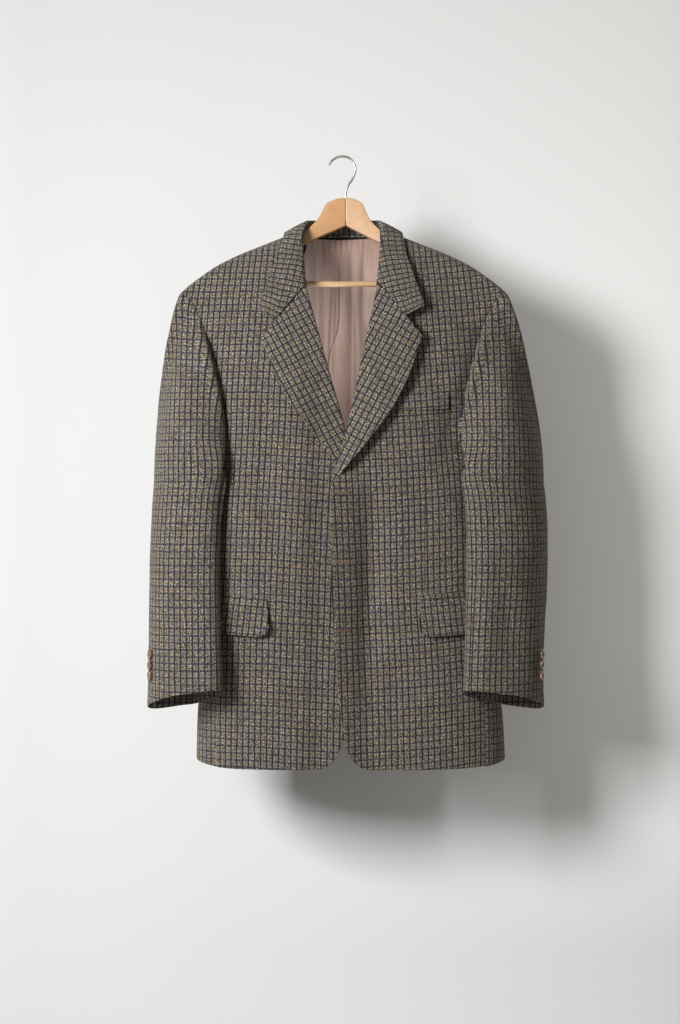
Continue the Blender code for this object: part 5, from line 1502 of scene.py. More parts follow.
GRAIN_LEAN = (Edge(-0.250, 4.4), Edge(-0.500, 2.9), Edge(-0.700, 1.6), Edge(-0.880, 0.8))
GRAIN_SLOPE = {
    -1: (Edge(0.00, 4.6), Edge(0.09, 4.4), Edge(0.135, 0.4), Edge(0.25, 0.0)),
    1: (Edge(0.00, 2.2), Edge(0.05, 2.6), Edge(0.13, 5.6), Edge(0.25, 6.0)),
}
GRAIN_STEPS = 200


def front_lean(grain, side):
    """Leans a front's grain: its upright lines spread towards the hem, and its level lines drop to the middle."""
    places = np.linspace(-1.0, 0.0, GRAIN_STEPS)
    heights = np.array([row.height for row in GRAIN_LEAN])[::-1]
    angles = np.array([row.out for row in GRAIN_LEAN])[::-1]
    slope = np.tan(np.radians(np.interp(places, heights, angles)))
    spread = np.concatenate([[0.0], np.cumsum((slope[1:] + slope[:-1]) / 2.0 * np.diff(places))])
    outs = np.linspace(0.0, 0.3, GRAIN_STEPS)
    known = np.array([row.height for row in GRAIN_SLOPE[side]])
    fall = np.tan(np.radians(np.interp(outs, known, [row.out for row in GRAIN_SLOPE[side]])))
    drop = np.concatenate([[0.0], np.cumsum((fall[1:] + fall[:-1]) / 2.0 * np.diff(outs))])
    leaned = grain.copy()
    leaned[..., 0] += side * np.interp(grain[..., 1], places, spread)
    leaned[..., 1] -= np.interp(side * grain[..., 0], outs, drop)
    return leaned


CAP_TURN = (0.90, 0.65)
CAP_BEHIND = (0.25, 0.55)


def sleeve_grain(grid, level):
    """Place on a sleeve's grain: round it from its front, and along it from a level row.

    Over the cap, upright lines stay upright as seen from the front, and level lines stay level.
    """
    normals = grid_normals(grid)
    middle = int(np.argmin(np.mean(normals[..., 1], axis=0)))
    level_row = int(np.argmin(np.abs(grid[:, middle, 2] - level)))
    across = steps_along(grid, 1)
    across = across - across[:, middle : middle + 1]
    down = steps_along(grid, 0)
    down = grid[level_row, :, 2] - (down - down[level_row])
    level_way = unit(np.cross(np.array([0.0, 0.0, 1.0]), normals))
    forward = 1.0 if level_way[level_row, middle, 0] > 0.0 else -1.0
    level_way = level_way * forward
    turned = normals[..., 0]
    x_way = np.array([1.0, 0.0, 0.0]) - normals * turned[..., None]
    x_way = unit(x_way) * np.where(normals[..., 1:2] < 0.0, 1.0, -1.0)
    facing = smoothstep(*CAP_TURN, np.abs(turned))[..., None]
    level_way = unit(level_way * (1.0 - facing) + x_way * facing)
    steep = np.sqrt(np.maximum(1.0 - normals[..., 2] ** 2, 0.04))
    run = 1.0 if grid[level_row, middle + 1, 0] > grid[level_row, middle, 0] else -1.0
    for row in range(level_row - 1, -1, -1):
        rise = grid[row, :, 2] - grid[row + 1, :, 2]
        down[row] = down[row + 1] + rise * 2.0 / (steep[row] + steep[row + 1])
        step = grid[row, 1:] - grid[row, :-1]
        along_row = run * np.sum(step * (level_way[row, 1:] + level_way[row, :-1]), axis=-1) / 2.0
        place = np.concatenate([[0.0], np.cumsum(along_row)])
        drift = run * (grid[row, middle, 0] - grid[level_row, middle, 0])
        across[row] = place - place[middle] + drift
    back = int(np.argmax(np.mean(normals[..., 1], axis=0)))
    behind = across[level_row, back] - run * (grid[:level_row, :, 0] - grid[level_row, back, 0])
    across[:level_row] = mix(across[:level_row], behind, smoothstep(*CAP_BEHIND, normals[:level_row, :, 1]))
    return np.stack([across, down], axis=-1)


def add_mesh(name, points, faces, materials):
    mesh = bpy.data.meshes.new(name)
    mesh.from_pydata([tuple(point) for point in points], [], faces)
    for material in materials:
        mesh.materials.append(material)
    mesh.shade_smooth()
    made = bpy.data.objects.new(name, mesh)
    bpy.context.scene.collection.objects.link(made)
    return made


def add_cloth(name, grid, grain, materials, wall, faced=None, marks=None):
    """A thin shell on a grid of outer points, with its grain as a UV map in metres.

    Faces marked as faced have the cloth on their inside too. The rest have the second material there.
    """
    rows, columns = grid.shape[:2]
    index = np.arange(rows * columns).reshape(rows, columns)
    corners = (index[:-1, :-1], index[:-1, 1:], index[1:, 1:], index[1:, :-1])
    faces = np.stack(corners, axis=-1).reshape(-1, 4)
    made = add_mesh(name, grid.reshape(-1, 3), faces.tolist(), materials)
    mesh = made.data
    layer = mesh.uv_layers.new(name="grain")
    layer.data.foreach_set("uv", grain.reshape(-1, 2)[faces.ravel()].ravel())
    attribute = mesh.attributes.new("marks", "FLOAT_VECTOR", "POINT")
    if marks is None:
        marks = np.zeros((rows, columns, 3))
    attribute.data.foreach_set("vector", marks.ravel())
    if faced is not None:
        whole = faced[:-1, :-1] & faced[1:, 1:]
        mesh.polygons.foreach_set("material_index", np.where(whole, 2, 0).ravel())
    shell = made.modifiers.new("wall", "SOLIDIFY")
    shell.thickness = wall
    shell.offset = -1.0
    shell.use_even_offset = False
    shell.material_offset = 1
    return made


def stand_for(made, node):
    """Ties a piece to the solid that it stands for."""
    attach(made, BODY_NAME)
    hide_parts(node)


def declare_cloth(made, node):
    """Ties a shell to its solid."""
    stand_for(made, node)


def require(*nodes):
    """Stops with a plain message if the frame lacks a solid."""
    missing = [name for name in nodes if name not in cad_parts]
    if missing:
        raise RuntimeError(f"the frame has no solid named {', '.join(missing)}")


def wool_and_lining(scene):
    wool = wool_material(scene.blazer_wool)
    return [wool, lining_material(scene.blazer_trim), wool, wool]


def dart_marks(grid, name):
    """Signed distance from a front's dart, and where the dart runs."""
    x, top, foot = DARTS[name]
    marks = np.zeros(grid.shape)
    marks[..., 0] = grid[..., 0] - x
    z = grid[..., 2]
    marks[..., 1] = smoothstep(top + 0.006, top - 0.010, z) * (z > foot)
    return marks


def hung_front(grid, name, side):
    """A front's grid with its strip turned and its armhole sunk."""
    out = steps_along(grid, 1)
    above = smoothstep(ARMHOLE_FOOT - 0.03, ARMHOLE_FOOT, grid[..., 2])
    return armhole_fold(hinged(grid, name), side, mix(1.0, out[:, -1:] - out, above), False)


def build_body(scene):
    """Fronts, side panels and backs."""
    materials = wool_and_lining(scene)
    for side in (-1, 1):
        word = side_name(side)
        front = rimmed(front_grid(side, ARM_STEPS, LOW_STEPS, PANEL_COLUMNS))
        under_arm = rimmed(side_grid(side, LOW_STEPS, SIDE_STEPS))
        back = rimmed(back_grid(side, ARM_STEPS, LOW_STEPS, PANEL_COLUMNS))
        panels = (
            (f"front_{word}", front, side, FRONT_MIDDLE_ROW, side, ("top", "last")),
            (f"side_{word}", under_arm, side, ARMHOLE_SIDE, side, ("top", "first", "last")),
            (f"back_{word}", back, side, BACK_MIDDLE_ROW, -side, ("top", "first", "last")),
        )
        for number, (name, grid, grain_side, level, turn, sewn) in enumerate(panels):
            require(name)
            grain = panel_grain(grid, grain_side, level)
            near_hem = steps_along(grid, 0)
            faced = (near_hem[-1:] - near_hem < HEM_FACING) | (near_hem < ARMHOLE_FACING)
            marks = None
            if name in DARTS:
                grain = front_lean(grain, side)
                faced = faced | (steps_along(grid, 1) < FRONT_FACING)
                marks = facing_out(dart_marks(grid, name), turn)
            if name in DARTS:
                grid = hung_front(grid, name, side)
            shaped = draped(facing_out(grid, turn), name, 10 * number + side, flipped(sewn, turn))
            made = add_cloth(
                f"wool_{name}", parted(shaped), facing_out(grain, turn), materials, SHELL_WALL,
                facing_out(faced, turn), marks,
            )
            declare_cloth(made, name)


def flipped(sewn, turn):
    """Names of a panel's sewn edges after it is turned to face out."""
    other = {"first": "last", "last": "first"}
    return tuple(other.get(edge, edge) for edge in sewn) if turn > 0 else sewn


def sleeve_halves(side):
    """Top and under pieces of a two-piece sleeve, as grids that face out."""
    sleeve = sleeve_grid(side, ARM_STEPS, SIDE_STEPS, CAP_ROWS, SLEEVE_ROWS)
    round_it = np.concatenate([sleeve, sleeve[:, :1]], axis=1)
    count = sleeve.shape[1]
    front_seam = round(TOP_SEAM_FRONT * count)
    back_seam = round(TOP_SEAM_BACK * count)
    top = np.concatenate([round_it[:, back_seam:], round_it[:, 1 : front_seam + 1]], axis=1)
    under = round_it[:, front_seam : back_seam + 1]
    return {"sleeve_top": facing_out(top, -side), "sleeve_under": facing_out(under, -side)}


def build_sleeves(scene):
    materials = wool_and_lining(scene)
    for side in (-1, 1):
        for number, (part, grid) in enumerate(sleeve_halves(side).items()):
            name = f"{part}_{side_name(side)}"
            require(name)
            grid = rimmed(grid)
            grain = sleeve_grain(grid, SLEEVE_TOP_RING)
            near_cuff = steps_along(grid, 0)
            faced = (near_cuff[-1:] - near_cuff < HEM_FACING) | (near_cuff < SLEEVE_FACING)
            grid = armhole_fold(hinged(grid, name), side, near_cuff, True)
            shaped = parted(draped(grid, name, 40 + 10 * number + side, ("top", "first", "last")))
            tucked = shaped[0] - grid_normals(shaped)[0] * TUCK_DEPTH
            tucked[:, 0] -= side * TUCK_REACH
            shaped = np.concatenate([tucked[None], shaped])
            grain = np.concatenate([grain[:1], grain])
            faced = np.concatenate([faced[:1], faced])
            made = add_cloth(f"wool_{name}", shaped, grain, materials, SHELL_WALL, faced)
            declare_cloth(made, name)


LAPEL_GRAIN_TURN = 28.0
GORGE_NEAR = (0.0060, 0.0030)
GORGE_TUCK = 0.0045
GORGE_TUCK_DEPTH = 0.0012
GORGE_LEVEL = 0.75
COLLAR_GRAIN_TURN = 20.0


def build_lapels(scene):
    wool = wool_material(scene.blazer_wool)
    for side in (-1, 1):
        name = f"lapel_{side_name(side)}"
        require(name)
        grid = rimmed(lapel_grid(side, LAPEL_FINE_ROWS, LAPEL_FINE_COLUMNS, LAPEL_FINE_ROLL))
        turn = math.radians(LAPEL_GRAIN_TURN)
        x, z = side * grid[..., 0], grid[..., 2]
        grain = np.stack([side * (x * math.cos(turn) - z * math.sin(turn)), x * math.sin(turn) + z * math.cos(turn)], axis=-1)
        shaped = draped(facing_out(grid, side), name, 70 + side, flipped(("first",), side), WAVE_DEPTH * 0.6)
        shaped = sewn_to_collar(shaped, side)
        grain = np.concatenate([grain[:1], grain])
        made = add_cloth(f"wool_{name}", shaped, facing_out(grain, side), [wool], SHELL_WALL)
        declare_cloth(made, name)


def sewn_to_collar(grid, side):
    """A lapel's grid with its top rim level with the collar's end, and one more row tucked under that."""
    collar = collar_grid(COLLAR_FINE_STEPS, COLLAR_FINE_STAND, COLLAR_FINE_ROLL, COLLAR_FINE_FALL)
    end = collar[0] if side < 0 else collar[-1]
    gap = np.linalg.norm(grid[0][:, None] - end[None], axis=-1).min(axis=1)
    near = smoothstep(*GORGE_NEAR, gap)[:, None]
    normals = grid_normals(grid)
    moved = grid.copy()
    for k, dip in enumerate(RIM_DIPS):
        moved[k] += normals[k] * RIM_DROP * dip * GORGE_LEVEL * near
    away = unit(grid[0] - grid[len(RIM_SHARES) + 1])
    reach = np.maximum(near, 0.05)
    tucked = moved[0] + (away * GORGE_TUCK - normals[0] * GORGE_TUCK_DEPTH) * reach
    return np.concatenate([tucked[None], moved])


def collar_grain(grid, roll_column):
    """Place on the collar's flat cut, a strip that bends towards its two ends."""
    roll = grid[:, roll_column]
    run = unit(np.gradient(roll, axis=0))
    length = steps_along(roll, 0)
    length = length - length[len(length) // 2]
    place = length / length[-1]
    turn = math.radians(COLLAR_GRAIN_TURN) * np.sign(place) * smoothstep(0.25, 1.0, np.abs(place))
    step = np.diff(length)
    middle = (turn[1:] + turn[:-1]) / 2.0
    strip = np.zeros((len(roll), 2))
    strip[1:, 0] = np.cumsum(step * np.cos(middle))
    strip[1:, 1] = -np.cumsum(step * np.sin(middle))
    strip = strip - strip[len(strip) // 2]
    along_roll = np.einsum("ijk,ik->ij", grid - roll[:, None], run)
    outward = steps_along(grid, 1)
    outward = outward - outward[:, roll_column : roll_column + 1]
    outward = np.sign(outward) * np.sqrt(np.maximum(outward**2 - along_roll**2, 0.0))
    cos = np.cos(turn)[:, None]
    sin = np.sin(turn)[:, None]
    u = strip[:, :1] + cos * along_roll + sin * outward
    v = strip[:, 1:] - sin * along_roll + cos * outward
    return np.stack([u, -v], axis=-1)


def build_collar(scene):
    require("collar")
    wool = wool_material(scene.blazer_wool)
    grid = rimmed(collar_grid(COLLAR_FINE_STEPS, COLLAR_FINE_STAND, COLLAR_FINE_ROLL, COLLAR_FINE_FALL))
    grain = collar_grain(grid, len(RIM_SHARES) + COLLAR_FINE_STAND + COLLAR_FINE_ROLL // 2)
    shaped = draped(grid, "collar", 80, ("first",), WAVE_DEPTH * 0.5)
    made = add_cloth("wool_collar", shaped, grain, [wool], SHELL_WALL)
    declare_cloth(made, "collar")


FLAP_GRAIN_LEAN = 6.5
FLAP_LIFT = 0.0048


def build_pockets(scene):
    """Flaps with their jets, and the breast welt, in cloth that follows the fronts' check."""
    wool = wool_material(scene.blazer_wool)
    pieces = []
    for side in (-1, 1):
        word = side_name(side)
        pieces.append((f"jet_{word}", jet_grid(side), side, JET_WALL, FLAP_SLOPE))
        pieces.append((f"flap_{word}", flap_grid(side), side, FLAP_WALL, FLAP_SLOPE))
    pieces.append(("breast_welt", facing_out(welt_grid(), 1), 1, FLAP_WALL, WELT_SLOPE))
    for number, (name, grid, side, wall, slope) in enumerate(pieces):
        require(name)
        grid = rimmed(grid)
        natural = facing_out(grid, side)
        grain = panel_grain(natural, side, natural[0, 0, 2])
        if name == "breast_welt":
            grain = front_lean(grain, side)
        else:
            grain[..., 1] -= slope * side * (grain[..., 0] - natural[0, 0, 0])
            grain[..., 0] += side * math.tan(math.radians(FLAP_GRAIN_LEAN)) * (natural[..., 2] - FLAP_TOP)
        grain = facing_out(grain, side)
        shaped = draped(grid, name, 90 + number, ("top",), WAVE_DEPTH * 0.5)
        if name.startswith("flap"):
            down = np.linspace(0.0, 1.0, len(shaped))[:, None]
            front = smoothstep(0.06, 0.0, np.abs(shaped[..., 0] - natural[0, 0, 0]))
            shaped[..., 1] -= FLAP_LIFT * down**1.5 * mix(0.5, 1.0, front)
        made = add_cloth(f"wool_{name}", shaped, grain, [wool], wall)
        if name.startswith("jet"):
            stand_for(made, name)
        else:
            declare_cloth(made, name)


PLEAT_X = -0.0050
PLEAT_BEND = -0.0165
PLEAT_BEND_TOP = -0.205
PLEAT_BEND_FOOT = -0.300
PLEAT_SHARP = 0.0022
LiningFold = namedtuple("LiningFold", "x0 x1 top foot width depth")
LINING_FOLDS = (
    LiningFold(0.012, 0.014, -0.110, -0.470, 0.0052, 0.0042),
    LiningFold(0.032, 0.028, -0.112, -0.240, 0.0045, 0.0030),
    LiningFold(0.022, 0.021, -0.230, -0.480, 0.0060, -0.0036),
    LiningFold(-0.030, -0.029, -0.112, -0.155, 0.0016, 0.0020),
    LiningFold(-0.014, -0.020, -0.170, -0.320, 0.0030, -0.0040),
    LiningFold(-0.040, -0.036, -0.120, -0.420, 0.0070, 0.0034),
    LiningFold(0.060, 0.070, -0.160, -0.700, 0.0120, 0.0024),
    LiningFold(-0.075, -0.080, -0.180, -0.700, 0.0130, 0.0026),
)


def lining_points():
    """Outer points of the back lining: a pleat that bends below the bar, soft folds and a gathered top."""
    across = np.linspace(-1.0, 1.0, LINING_FINE_COLUMNS + 1)
    wide = np.sign(across) * np.abs(across) ** 1.5 * LINING_HALF
    share = np.linspace(0.0, 1.0, LINING_FINE_ROWS + 1)[:, None] ** 1.35
    z = mix(LINING_TOP, LINING_FOOT, share) + 0.0 * wide[None, :]
    narrow = mix(LINING_NECK, 1.0, smoothstep(0.0, LINING_SPREAD, share))
    bend = PLEAT_X + PLEAT_BEND * smoothstep(PLEAT_BEND_TOP, PLEAT_BEND_FOOT, z) ** 2
    x = wide[None, :] * narrow + bend * np.exp(-((wide[None, :] * narrow / 0.02) ** 2))
    beside = x - bend
    crest = np.where(beside < 0.0, smoothstep(-PLEAT_SHARP, 0.0, beside), smoothstep(PLEAT_RISE, 0.0, beside))
    tuck = PLEAT_DEPTH * crest * smoothstep(0.0, PLEAT_START, share) * smoothstep(1.0, PLEAT_END, share)
    for fold in LINING_FOLDS:
        run = np.clip((fold.top - z) / (fold.top - fold.foot), 0.0, 1.0)
        centre = mix(fold.x0, fold.x1, run)
        tuck = tuck - fold.depth * np.exp(-(((x - centre) / fold.width) ** 2)) * np.sin(math.pi * run) ** 0.7
    gather = 0.0007 * np.sin(2.0 * math.pi * x / 0.0085) * smoothstep(LINING_TOP - 0.022, LINING_TOP, z)
    y = back_depth(x, z) - CLOTH_WALL - LINING_CLEAR - tuck - gather
    return facing_out(np.stack([x, y, z], axis=-1), -1)


def build_lining(scene):
    require("lining_back")
    grid = rimmed(lining_points())
    grain = panel_grain(grid, 1, LINING_TOP)
    made = add_cloth("satin_lining_back", grid, grain, [lining_material(scene.blazer_trim)], LINING_WALL)
    declare_cloth(made, "lining_back")


def tube(path, radius, sides, closed):
    """Points and faces of a tube along a path, whose radius may change along it."""
    path = np.asarray(path, float)
    radius = np.broadcast_to(radius, len(path))
    ahead = np.roll(path, -1, axis=0) - np.roll(path, 1, axis=0) if closed else np.gradient(path, axis=0)
    ahead = unit(ahead)
    helper = np.array([0.0, 1.0, 0.0])
    beside = unit(np.cross(ahead, helper))
    above = np.cross(beside, ahead)
    points = []
    for k in range(sides):
        angle = 2.0 * math.pi * k / sides
        points.append(path + (beside * math.cos(angle) + above * math.sin(angle)) * radius[:, None])
    points = np.stack(points, axis=1).reshape(-1, 3)
    faces = []
    count = len(path)
    for i in range(count if closed else count - 1):
        for k in range(sides):
            a = i * sides + k
            b = i * sides + (k + 1) % sides
            c = (i + 1) % count * sides + (k + 1) % sides
            d = (i + 1) % count * sides + k
            faces.append((a, b, c, d))
    if not closed:
        faces.append(tuple(reversed(range(sides))))
        faces.append(tuple(range((count - 1) * sides, count * sides)))
    return points, faces


def add_joined(name, parts, material):
    """One mesh from several sets of points and faces."""
    points = []
    faces = []
    for some_points, some_faces in parts:
        first = len(points)
        points.extend(some_points)
        faces.extend(tuple(first + k for k in face) for face in some_faces)
    made = add_mesh(name, points, faces, [material])
    shape = bmesh.new()
    shape.from_mesh(made.data)
    bmesh.ops.recalc_face_normals(shape, faces=shape.faces)
    shape.to_mesh(made.data)
    shape.free()
    return made


HOLE_HALF = 0.0100
HOLE_LIP = 0.0010
HOLE_THREAD = 0.00085
HOLE_STITCHES = 62
HOLE_POINTS = 372
HOLE_RISE = 0.0003
Buttonhole = namedtuple("Buttonhole", "x z slope")
LAPEL_HOLE = Buttonhole(0.0890, -0.2770, -0.46)
LAPEL_HOLE_HALF = 0.0085


def buttonhole(centre_x, centre_z, slope, half, depth_at):
    """A worked buttonhole: stitched thread round a slit, lying on the cloth."""
    turn = np.linspace(0.0, 2.0 * math.pi, HOLE_POINTS, endpoint=False)
    along_slit = half * np.sign(np.cos(turn)) * np.abs(np.cos(turn)) ** 0.35
    off_slit = HOLE_LIP * np.sign(np.sin(turn)) * np.abs(np.sin(turn)) ** 0.6
    lean = math.atan(slope)
    x = centre_x + along_slit * math.cos(lean) - off_slit * math.sin(lean)
    z = centre_z + along_slit * math.sin(lean) + off_slit * math.cos(lean)
    path = np.stack([x, depth_at(x, z) - HOLE_RISE, z], axis=1)
    length = np.linalg.norm(np.diff(np.concatenate([path, path[:1]]), axis=0), axis=1)
    run = np.concatenate([[0.0], np.cumsum(length)[:-1]]) / length.sum()
    radius = HOLE_THREAD * (0.82 + 0.18 * np.cos(2.0 * math.pi * HOLE_STITCHES * run))
    return tube(path, radius, 8, True)


def lapel_depth(x, z):
    """Y of the wearer's left lapel."""
    grid = lapel_grid(1, LAPEL_FINE_ROWS, LAPEL_FINE_COLUMNS, LAPEL_FINE_ROLL)
    return depth_near(grid[:, LAPEL_FINE_ROLL:], x, z)


def edge_depth(x, z):
    """Y of the front that lies on top, near its edge."""
    grid = front_grid(1, ARM_STEPS, LOW_STEPS, PANEL_COLUMNS)
    return depth_near(hinged(grid, "front_left"), x, z)


def depth_near(grid, x, z):
    """Y of a grid at a place, from the nearest of its points."""
    flat = grid.reshape(-1, 3)
    near = np.hypot(flat[:, 0][None] - x[:, None], flat[:, 2][None] - z[:, None])
    chosen = np.argsort(near, axis=1)[:, :4]
    weight = 1.0 / (np.take_along_axis(near, chosen, axis=1) + TINY)
    return np.sum(flat[chosen, 1] * weight, axis=1) / np.sum(weight, axis=1)


def build_buttonholes(scene):
    """Three buttonholes down the front that lies on top, and one in its lapel."""
    parts = []
    for k in range(FRONT_BUTTONS):
        z = FRONT_BUTTON_TOP - k * FRONT_BUTTON_PITCH
        parts.append(buttonhole(-0.0016, z, 0.0, HOLE_HALF, edge_depth))
    parts.append(buttonhole(LAPEL_HOLE.x, LAPEL_HOLE.z, LAPEL_HOLE.slope, LAPEL_HOLE_HALF, lapel_depth))
    made = add_joined("buttonhole_thread", parts, thread_material(scene.blazer_trim))
    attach(made, BODY_NAME)


def start_piece(name):
    """Names the primitive that was just added."""
    made = bpy.context.view_layer.objects.active
    made.name = name
    made.data.name = name
    return made


def select_faces(made, chosen):
    """Selects the faces that a test chooses, in edit mode."""
    shape = bmesh.from_edit_mesh(made.data)
    shape.select_mode = {"FACE"}
    for face in shape.faces:
        face.select_set(False)
    for face in shape.faces:
        if chosen(face):
            face.select_set(True)
    shape.select_flush_mode()
    bmesh.update_edit_mesh(made.data)


def apply_bevel(made, width, segments, angle=40.0):
    bevel = made.modifiers.new("eased", "BEVEL")
    bevel.width = width
    bevel.segments = segments
    bevel.limit_method = "ANGLE"
    bevel.angle_limit = math.radians(angle)
    bpy.ops.object.modifier_apply(modifier=bevel.name)


BUTTON_HOLE_SHARE = 0.24
BUTTON_HOLE_RADIUS = 0.13
BUTTON_DISH = 0.22


def model_button(radius, wall):
    """A four-hole button lying flat at the origin, with a raised rim and a dished face."""
    bpy.ops.object.select_all(action="DESELECT")
    bpy.ops.mesh.primitive_cylinder_add(vertices=BUTTON_SIDES, radius=radius, depth=wall, location=(0, 0, wall / 2))
    made = start_piece("button_model")
    bpy.ops.object.transform_apply(location=True)
    bpy.ops.object.mode_set(mode="EDIT")
    select_faces(made, lambda face: face.normal.z > 0.9)
    bpy.ops.mesh.inset(thickness=radius * 0.20, depth=0.0)
    bpy.ops.mesh.inset(thickness=radius * 0.10, depth=-wall * BUTTON_DISH)
    bpy.ops.mesh.inset(thickness=radius * 0.18, depth=-wall * 0.08)
    select_faces(made, lambda face: face.normal.z < -0.9)
    bpy.ops.mesh.inset(thickness=radius * 0.28, depth=0.0)
    bpy.ops.object.mode_set(mode="OBJECT")
    apply_bevel(made, wall * 0.22, 3)
    for k in range(4):
        angle = math.pi * (0.25 + 0.5 * k)
        place = (radius * BUTTON_HOLE_SHARE * math.cos(angle), radius * BUTTON_HOLE_SHARE * math.sin(angle), wall / 2)
        bpy.ops.object.select_all(action="DESELECT")
        bpy.ops.mesh.primitive_cylinder_add(vertices=16, radius=radius * BUTTON_HOLE_RADIUS, depth=wall * 3, location=place)
        cutter = start_piece("button_hole_cutter")
        bpy.context.view_layer.objects.active = made
        cut = made.modifiers.new("hole", "BOOLEAN")
        cut.object = cutter
        bpy.ops.object.modifier_apply(modifier=cut.name)
        bpy.data.objects.remove(cutter)
    bpy.ops.object.select_all(action="DESELECT")
    made.select_set(True)
    bpy.ops.object.shade_smooth_by_angle(angle=math.radians(35.0))
    return made


def button_threads(radius, wall):
    """Two crossed strands through a button's four holes."""
    reach = radius * BUTTON_HOLE_SHARE / math.sqrt(2.0)
    parts = []
    for one, other in (((-1, -1), (1, 1)), ((-1, 1), (1, -1))):
        share = np.linspace(0.0, 1.0, 9)
        x = mix(one[0], other[0], share) * reach
        y = mix(one[1], other[1], share) * reach
        z = wall * 0.62 + wall * 0.30 * np.sin(math.pi * share)
        parts.append(tube(np.stack([x, y, z], axis=1), radius * 0.075, 8, False))
    return parts


def button_places():
    """Name, place, outward direction and size of every button."""
    places = []
    for side in (-1, 1):
        for k in range(CUFF_BUTTONS):
            height = CUFF_HEIGHT + CUFF_BUTTON_RISE + k * CUFF_BUTTON_PITCH
            turns = CUFF_BUTTON_TURN + CUFF_BUTTON_STEP * np.array([-1.0, 0.0, 1.0])
            near = sleeve_ring(side, turns, np.full(turns.shape, height))
            run = near[2] - near[0]
            outward = np.array([run[1], -run[0], 0.0]) * side
            outward = outward if outward[1] < 0 else -outward
            name = f"cuff_button_{side_name(side)}_{k + 1}"
            places.append((name, near[1], outward, CUFF_BUTTON_RADIUS, CUFF_BUTTON_WALL))
    for k in range(FRONT_BUTTONS):
        height = FRONT_BUTTON_TOP - k * FRONT_BUTTON_PITCH
        place = np.array([0.0, float(front_depth(np.array(0.0), np.array(height), -1)), height])
        places.append((f"front_button_{k + 1}", place, np.array([0.0, -1.0, 0.0]), FRONT_BUTTON_RADIUS, FRONT_BUTTON_WALL))
    return places


def build_buttons(scene):
    """Horn buttons on the cuffs and on the front that lies underneath, with their thread."""
    horn = horn_material(scene.blazer_trim)
    models = {}
    threads = []
    for number, (name, place, outward, radius, wall) in enumerate(button_places()):
        require(name)
        if radius not in models:
            models[radius] = model_button(radius, wall)
        up = Vector(outward).normalized()
        turn = up.to_track_quat("Z", "Y").to_matrix().to_4x4()
        spin = Matrix.Rotation(0.45 * number, 4, "Z")
        move = Matrix.Translation(Vector(place) + up * BUTTON_CLEAR) @ turn @ spin
        mesh = models[radius].data.copy()
        mesh.transform(move)
        mesh.materials.clear()
        mesh.materials.append(horn)
        made = bpy.data.objects.new(f"horn_{name}", mesh)
        bpy.context.scene.collection.objects.link(made)
        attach(made, BODY_NAME)
        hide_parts(name)
        for points, faces in button_threads(radius, wall):
            threads.append(([move @ Vector(point) for point in points], faces))
    for model in models.values():
        bpy.data.objects.remove(model)
    made = add_joined("button_thread", threads, thread_material(scene.blazer_trim))
    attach(made, BODY_NAME)


ARM_STATIONS = 30


def model_arm(side, material):
    """One wooden arm: a block drawn out in steps under the shoulder, with eased edges."""
    shares = np.linspace(0.0, 1.0, ARM_STATIONS + 1) ** 1.4
    out = mix(SEAM_GAP / 2.0, ARM[-1].out, shares)
    known = [row.out for row in ARM]
    top = np.interp(out, known, [row.top for row in ARM])
    foot = np.interp(out, known, [row.foot for row in ARM])
    shift = HANGER_SHIFT * np.maximum(0.0, 1.0 - out / HANGER_HEAD)
    centres = np.stack([side * out + shift, ridge_depth(out), (top + foot) / 2.0], axis=1)
    heights = top - foot
    bpy.ops.object.select_all(action="DESELECT")
    bpy.ops.mesh.primitive_cube_add(size=1.0)
    made = start_piece(f"wood_hanger_arm_{side_name(side)}")
    first = centres[1] - centres[0]
    made.scale = (abs(first[0]), 2.0 * ARM_HALF_WALL, heights[0])
    made.location = (centres[0] + centres[1]) / 2.0
    bpy.ops.object.transform_apply(location=True, scale=True)
    bpy.ops.object.mode_set(mode="EDIT")
    for i in range(1, len(out)):
        last = side * centres[max(i - 1, 1), 0]
        select_faces(made, lambda face: face.calc_center_median().x * side > last - TINY)
        if i > 1:
            step = tuple(centres[i] - centres[i - 1])
            bpy.ops.mesh.extrude_region_move(TRANSFORM_OT_translate={"value": step})
            stretch = heights[i] / heights[i - 1]
        else:
            bpy.ops.transform.translate(value=(0.0, first[1] / 2.0, first[2] / 2.0))
            stretch = heights[1] / heights[0]
        bpy.ops.transform.resize(value=(1.0, 1.0, stretch), center_override=tuple(centres[i]))
    bpy.ops.object.mode_set(mode="OBJECT")
    apply_bevel(made, ARM_EDGE, 4, 30.0)
    bpy.ops.object.shade_smooth_by_angle(angle=math.radians(35.0))
    made.data.materials.clear()
    made.data.materials.append(material)
    return made


ARM_LEAN = {-1: -26.0, 1: 26.0}


def build_hanger(scene):
    """Wooden arms, trouser bar and wire hook."""
    settings = scene.blazer_hanger
    # Painted light: the arm on the viewer's right gets the lighter, lit copy of the wood.
    colours = {-1: settings.wood, 1: settings.wood_painted_lit}
    for side in (-1, 1):
        node = f"hanger_arm_{side_name(side)}"
        require(node)
        wood = wood_material(f"wood_{side_name(side)}", colours[side], math.radians(ARM_LEAN[side]))
        made = model_arm(side, wood)
        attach(made, BODY_NAME)
        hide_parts(node)
    # Painted light: the bar is given the same lighter, lit copy of the wood.
    bar = model_bar(wood_material("wood_bar", settings.wood_painted_lit, 0.0))
    hook = model_hook(wire_material(settings))
    for made, node, slot in ((bar, "hanger_bar", "wood"), (hook, "hanger_hook", "steel")):
        require(node)
        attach(made, BODY_NAME)
        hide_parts(node)


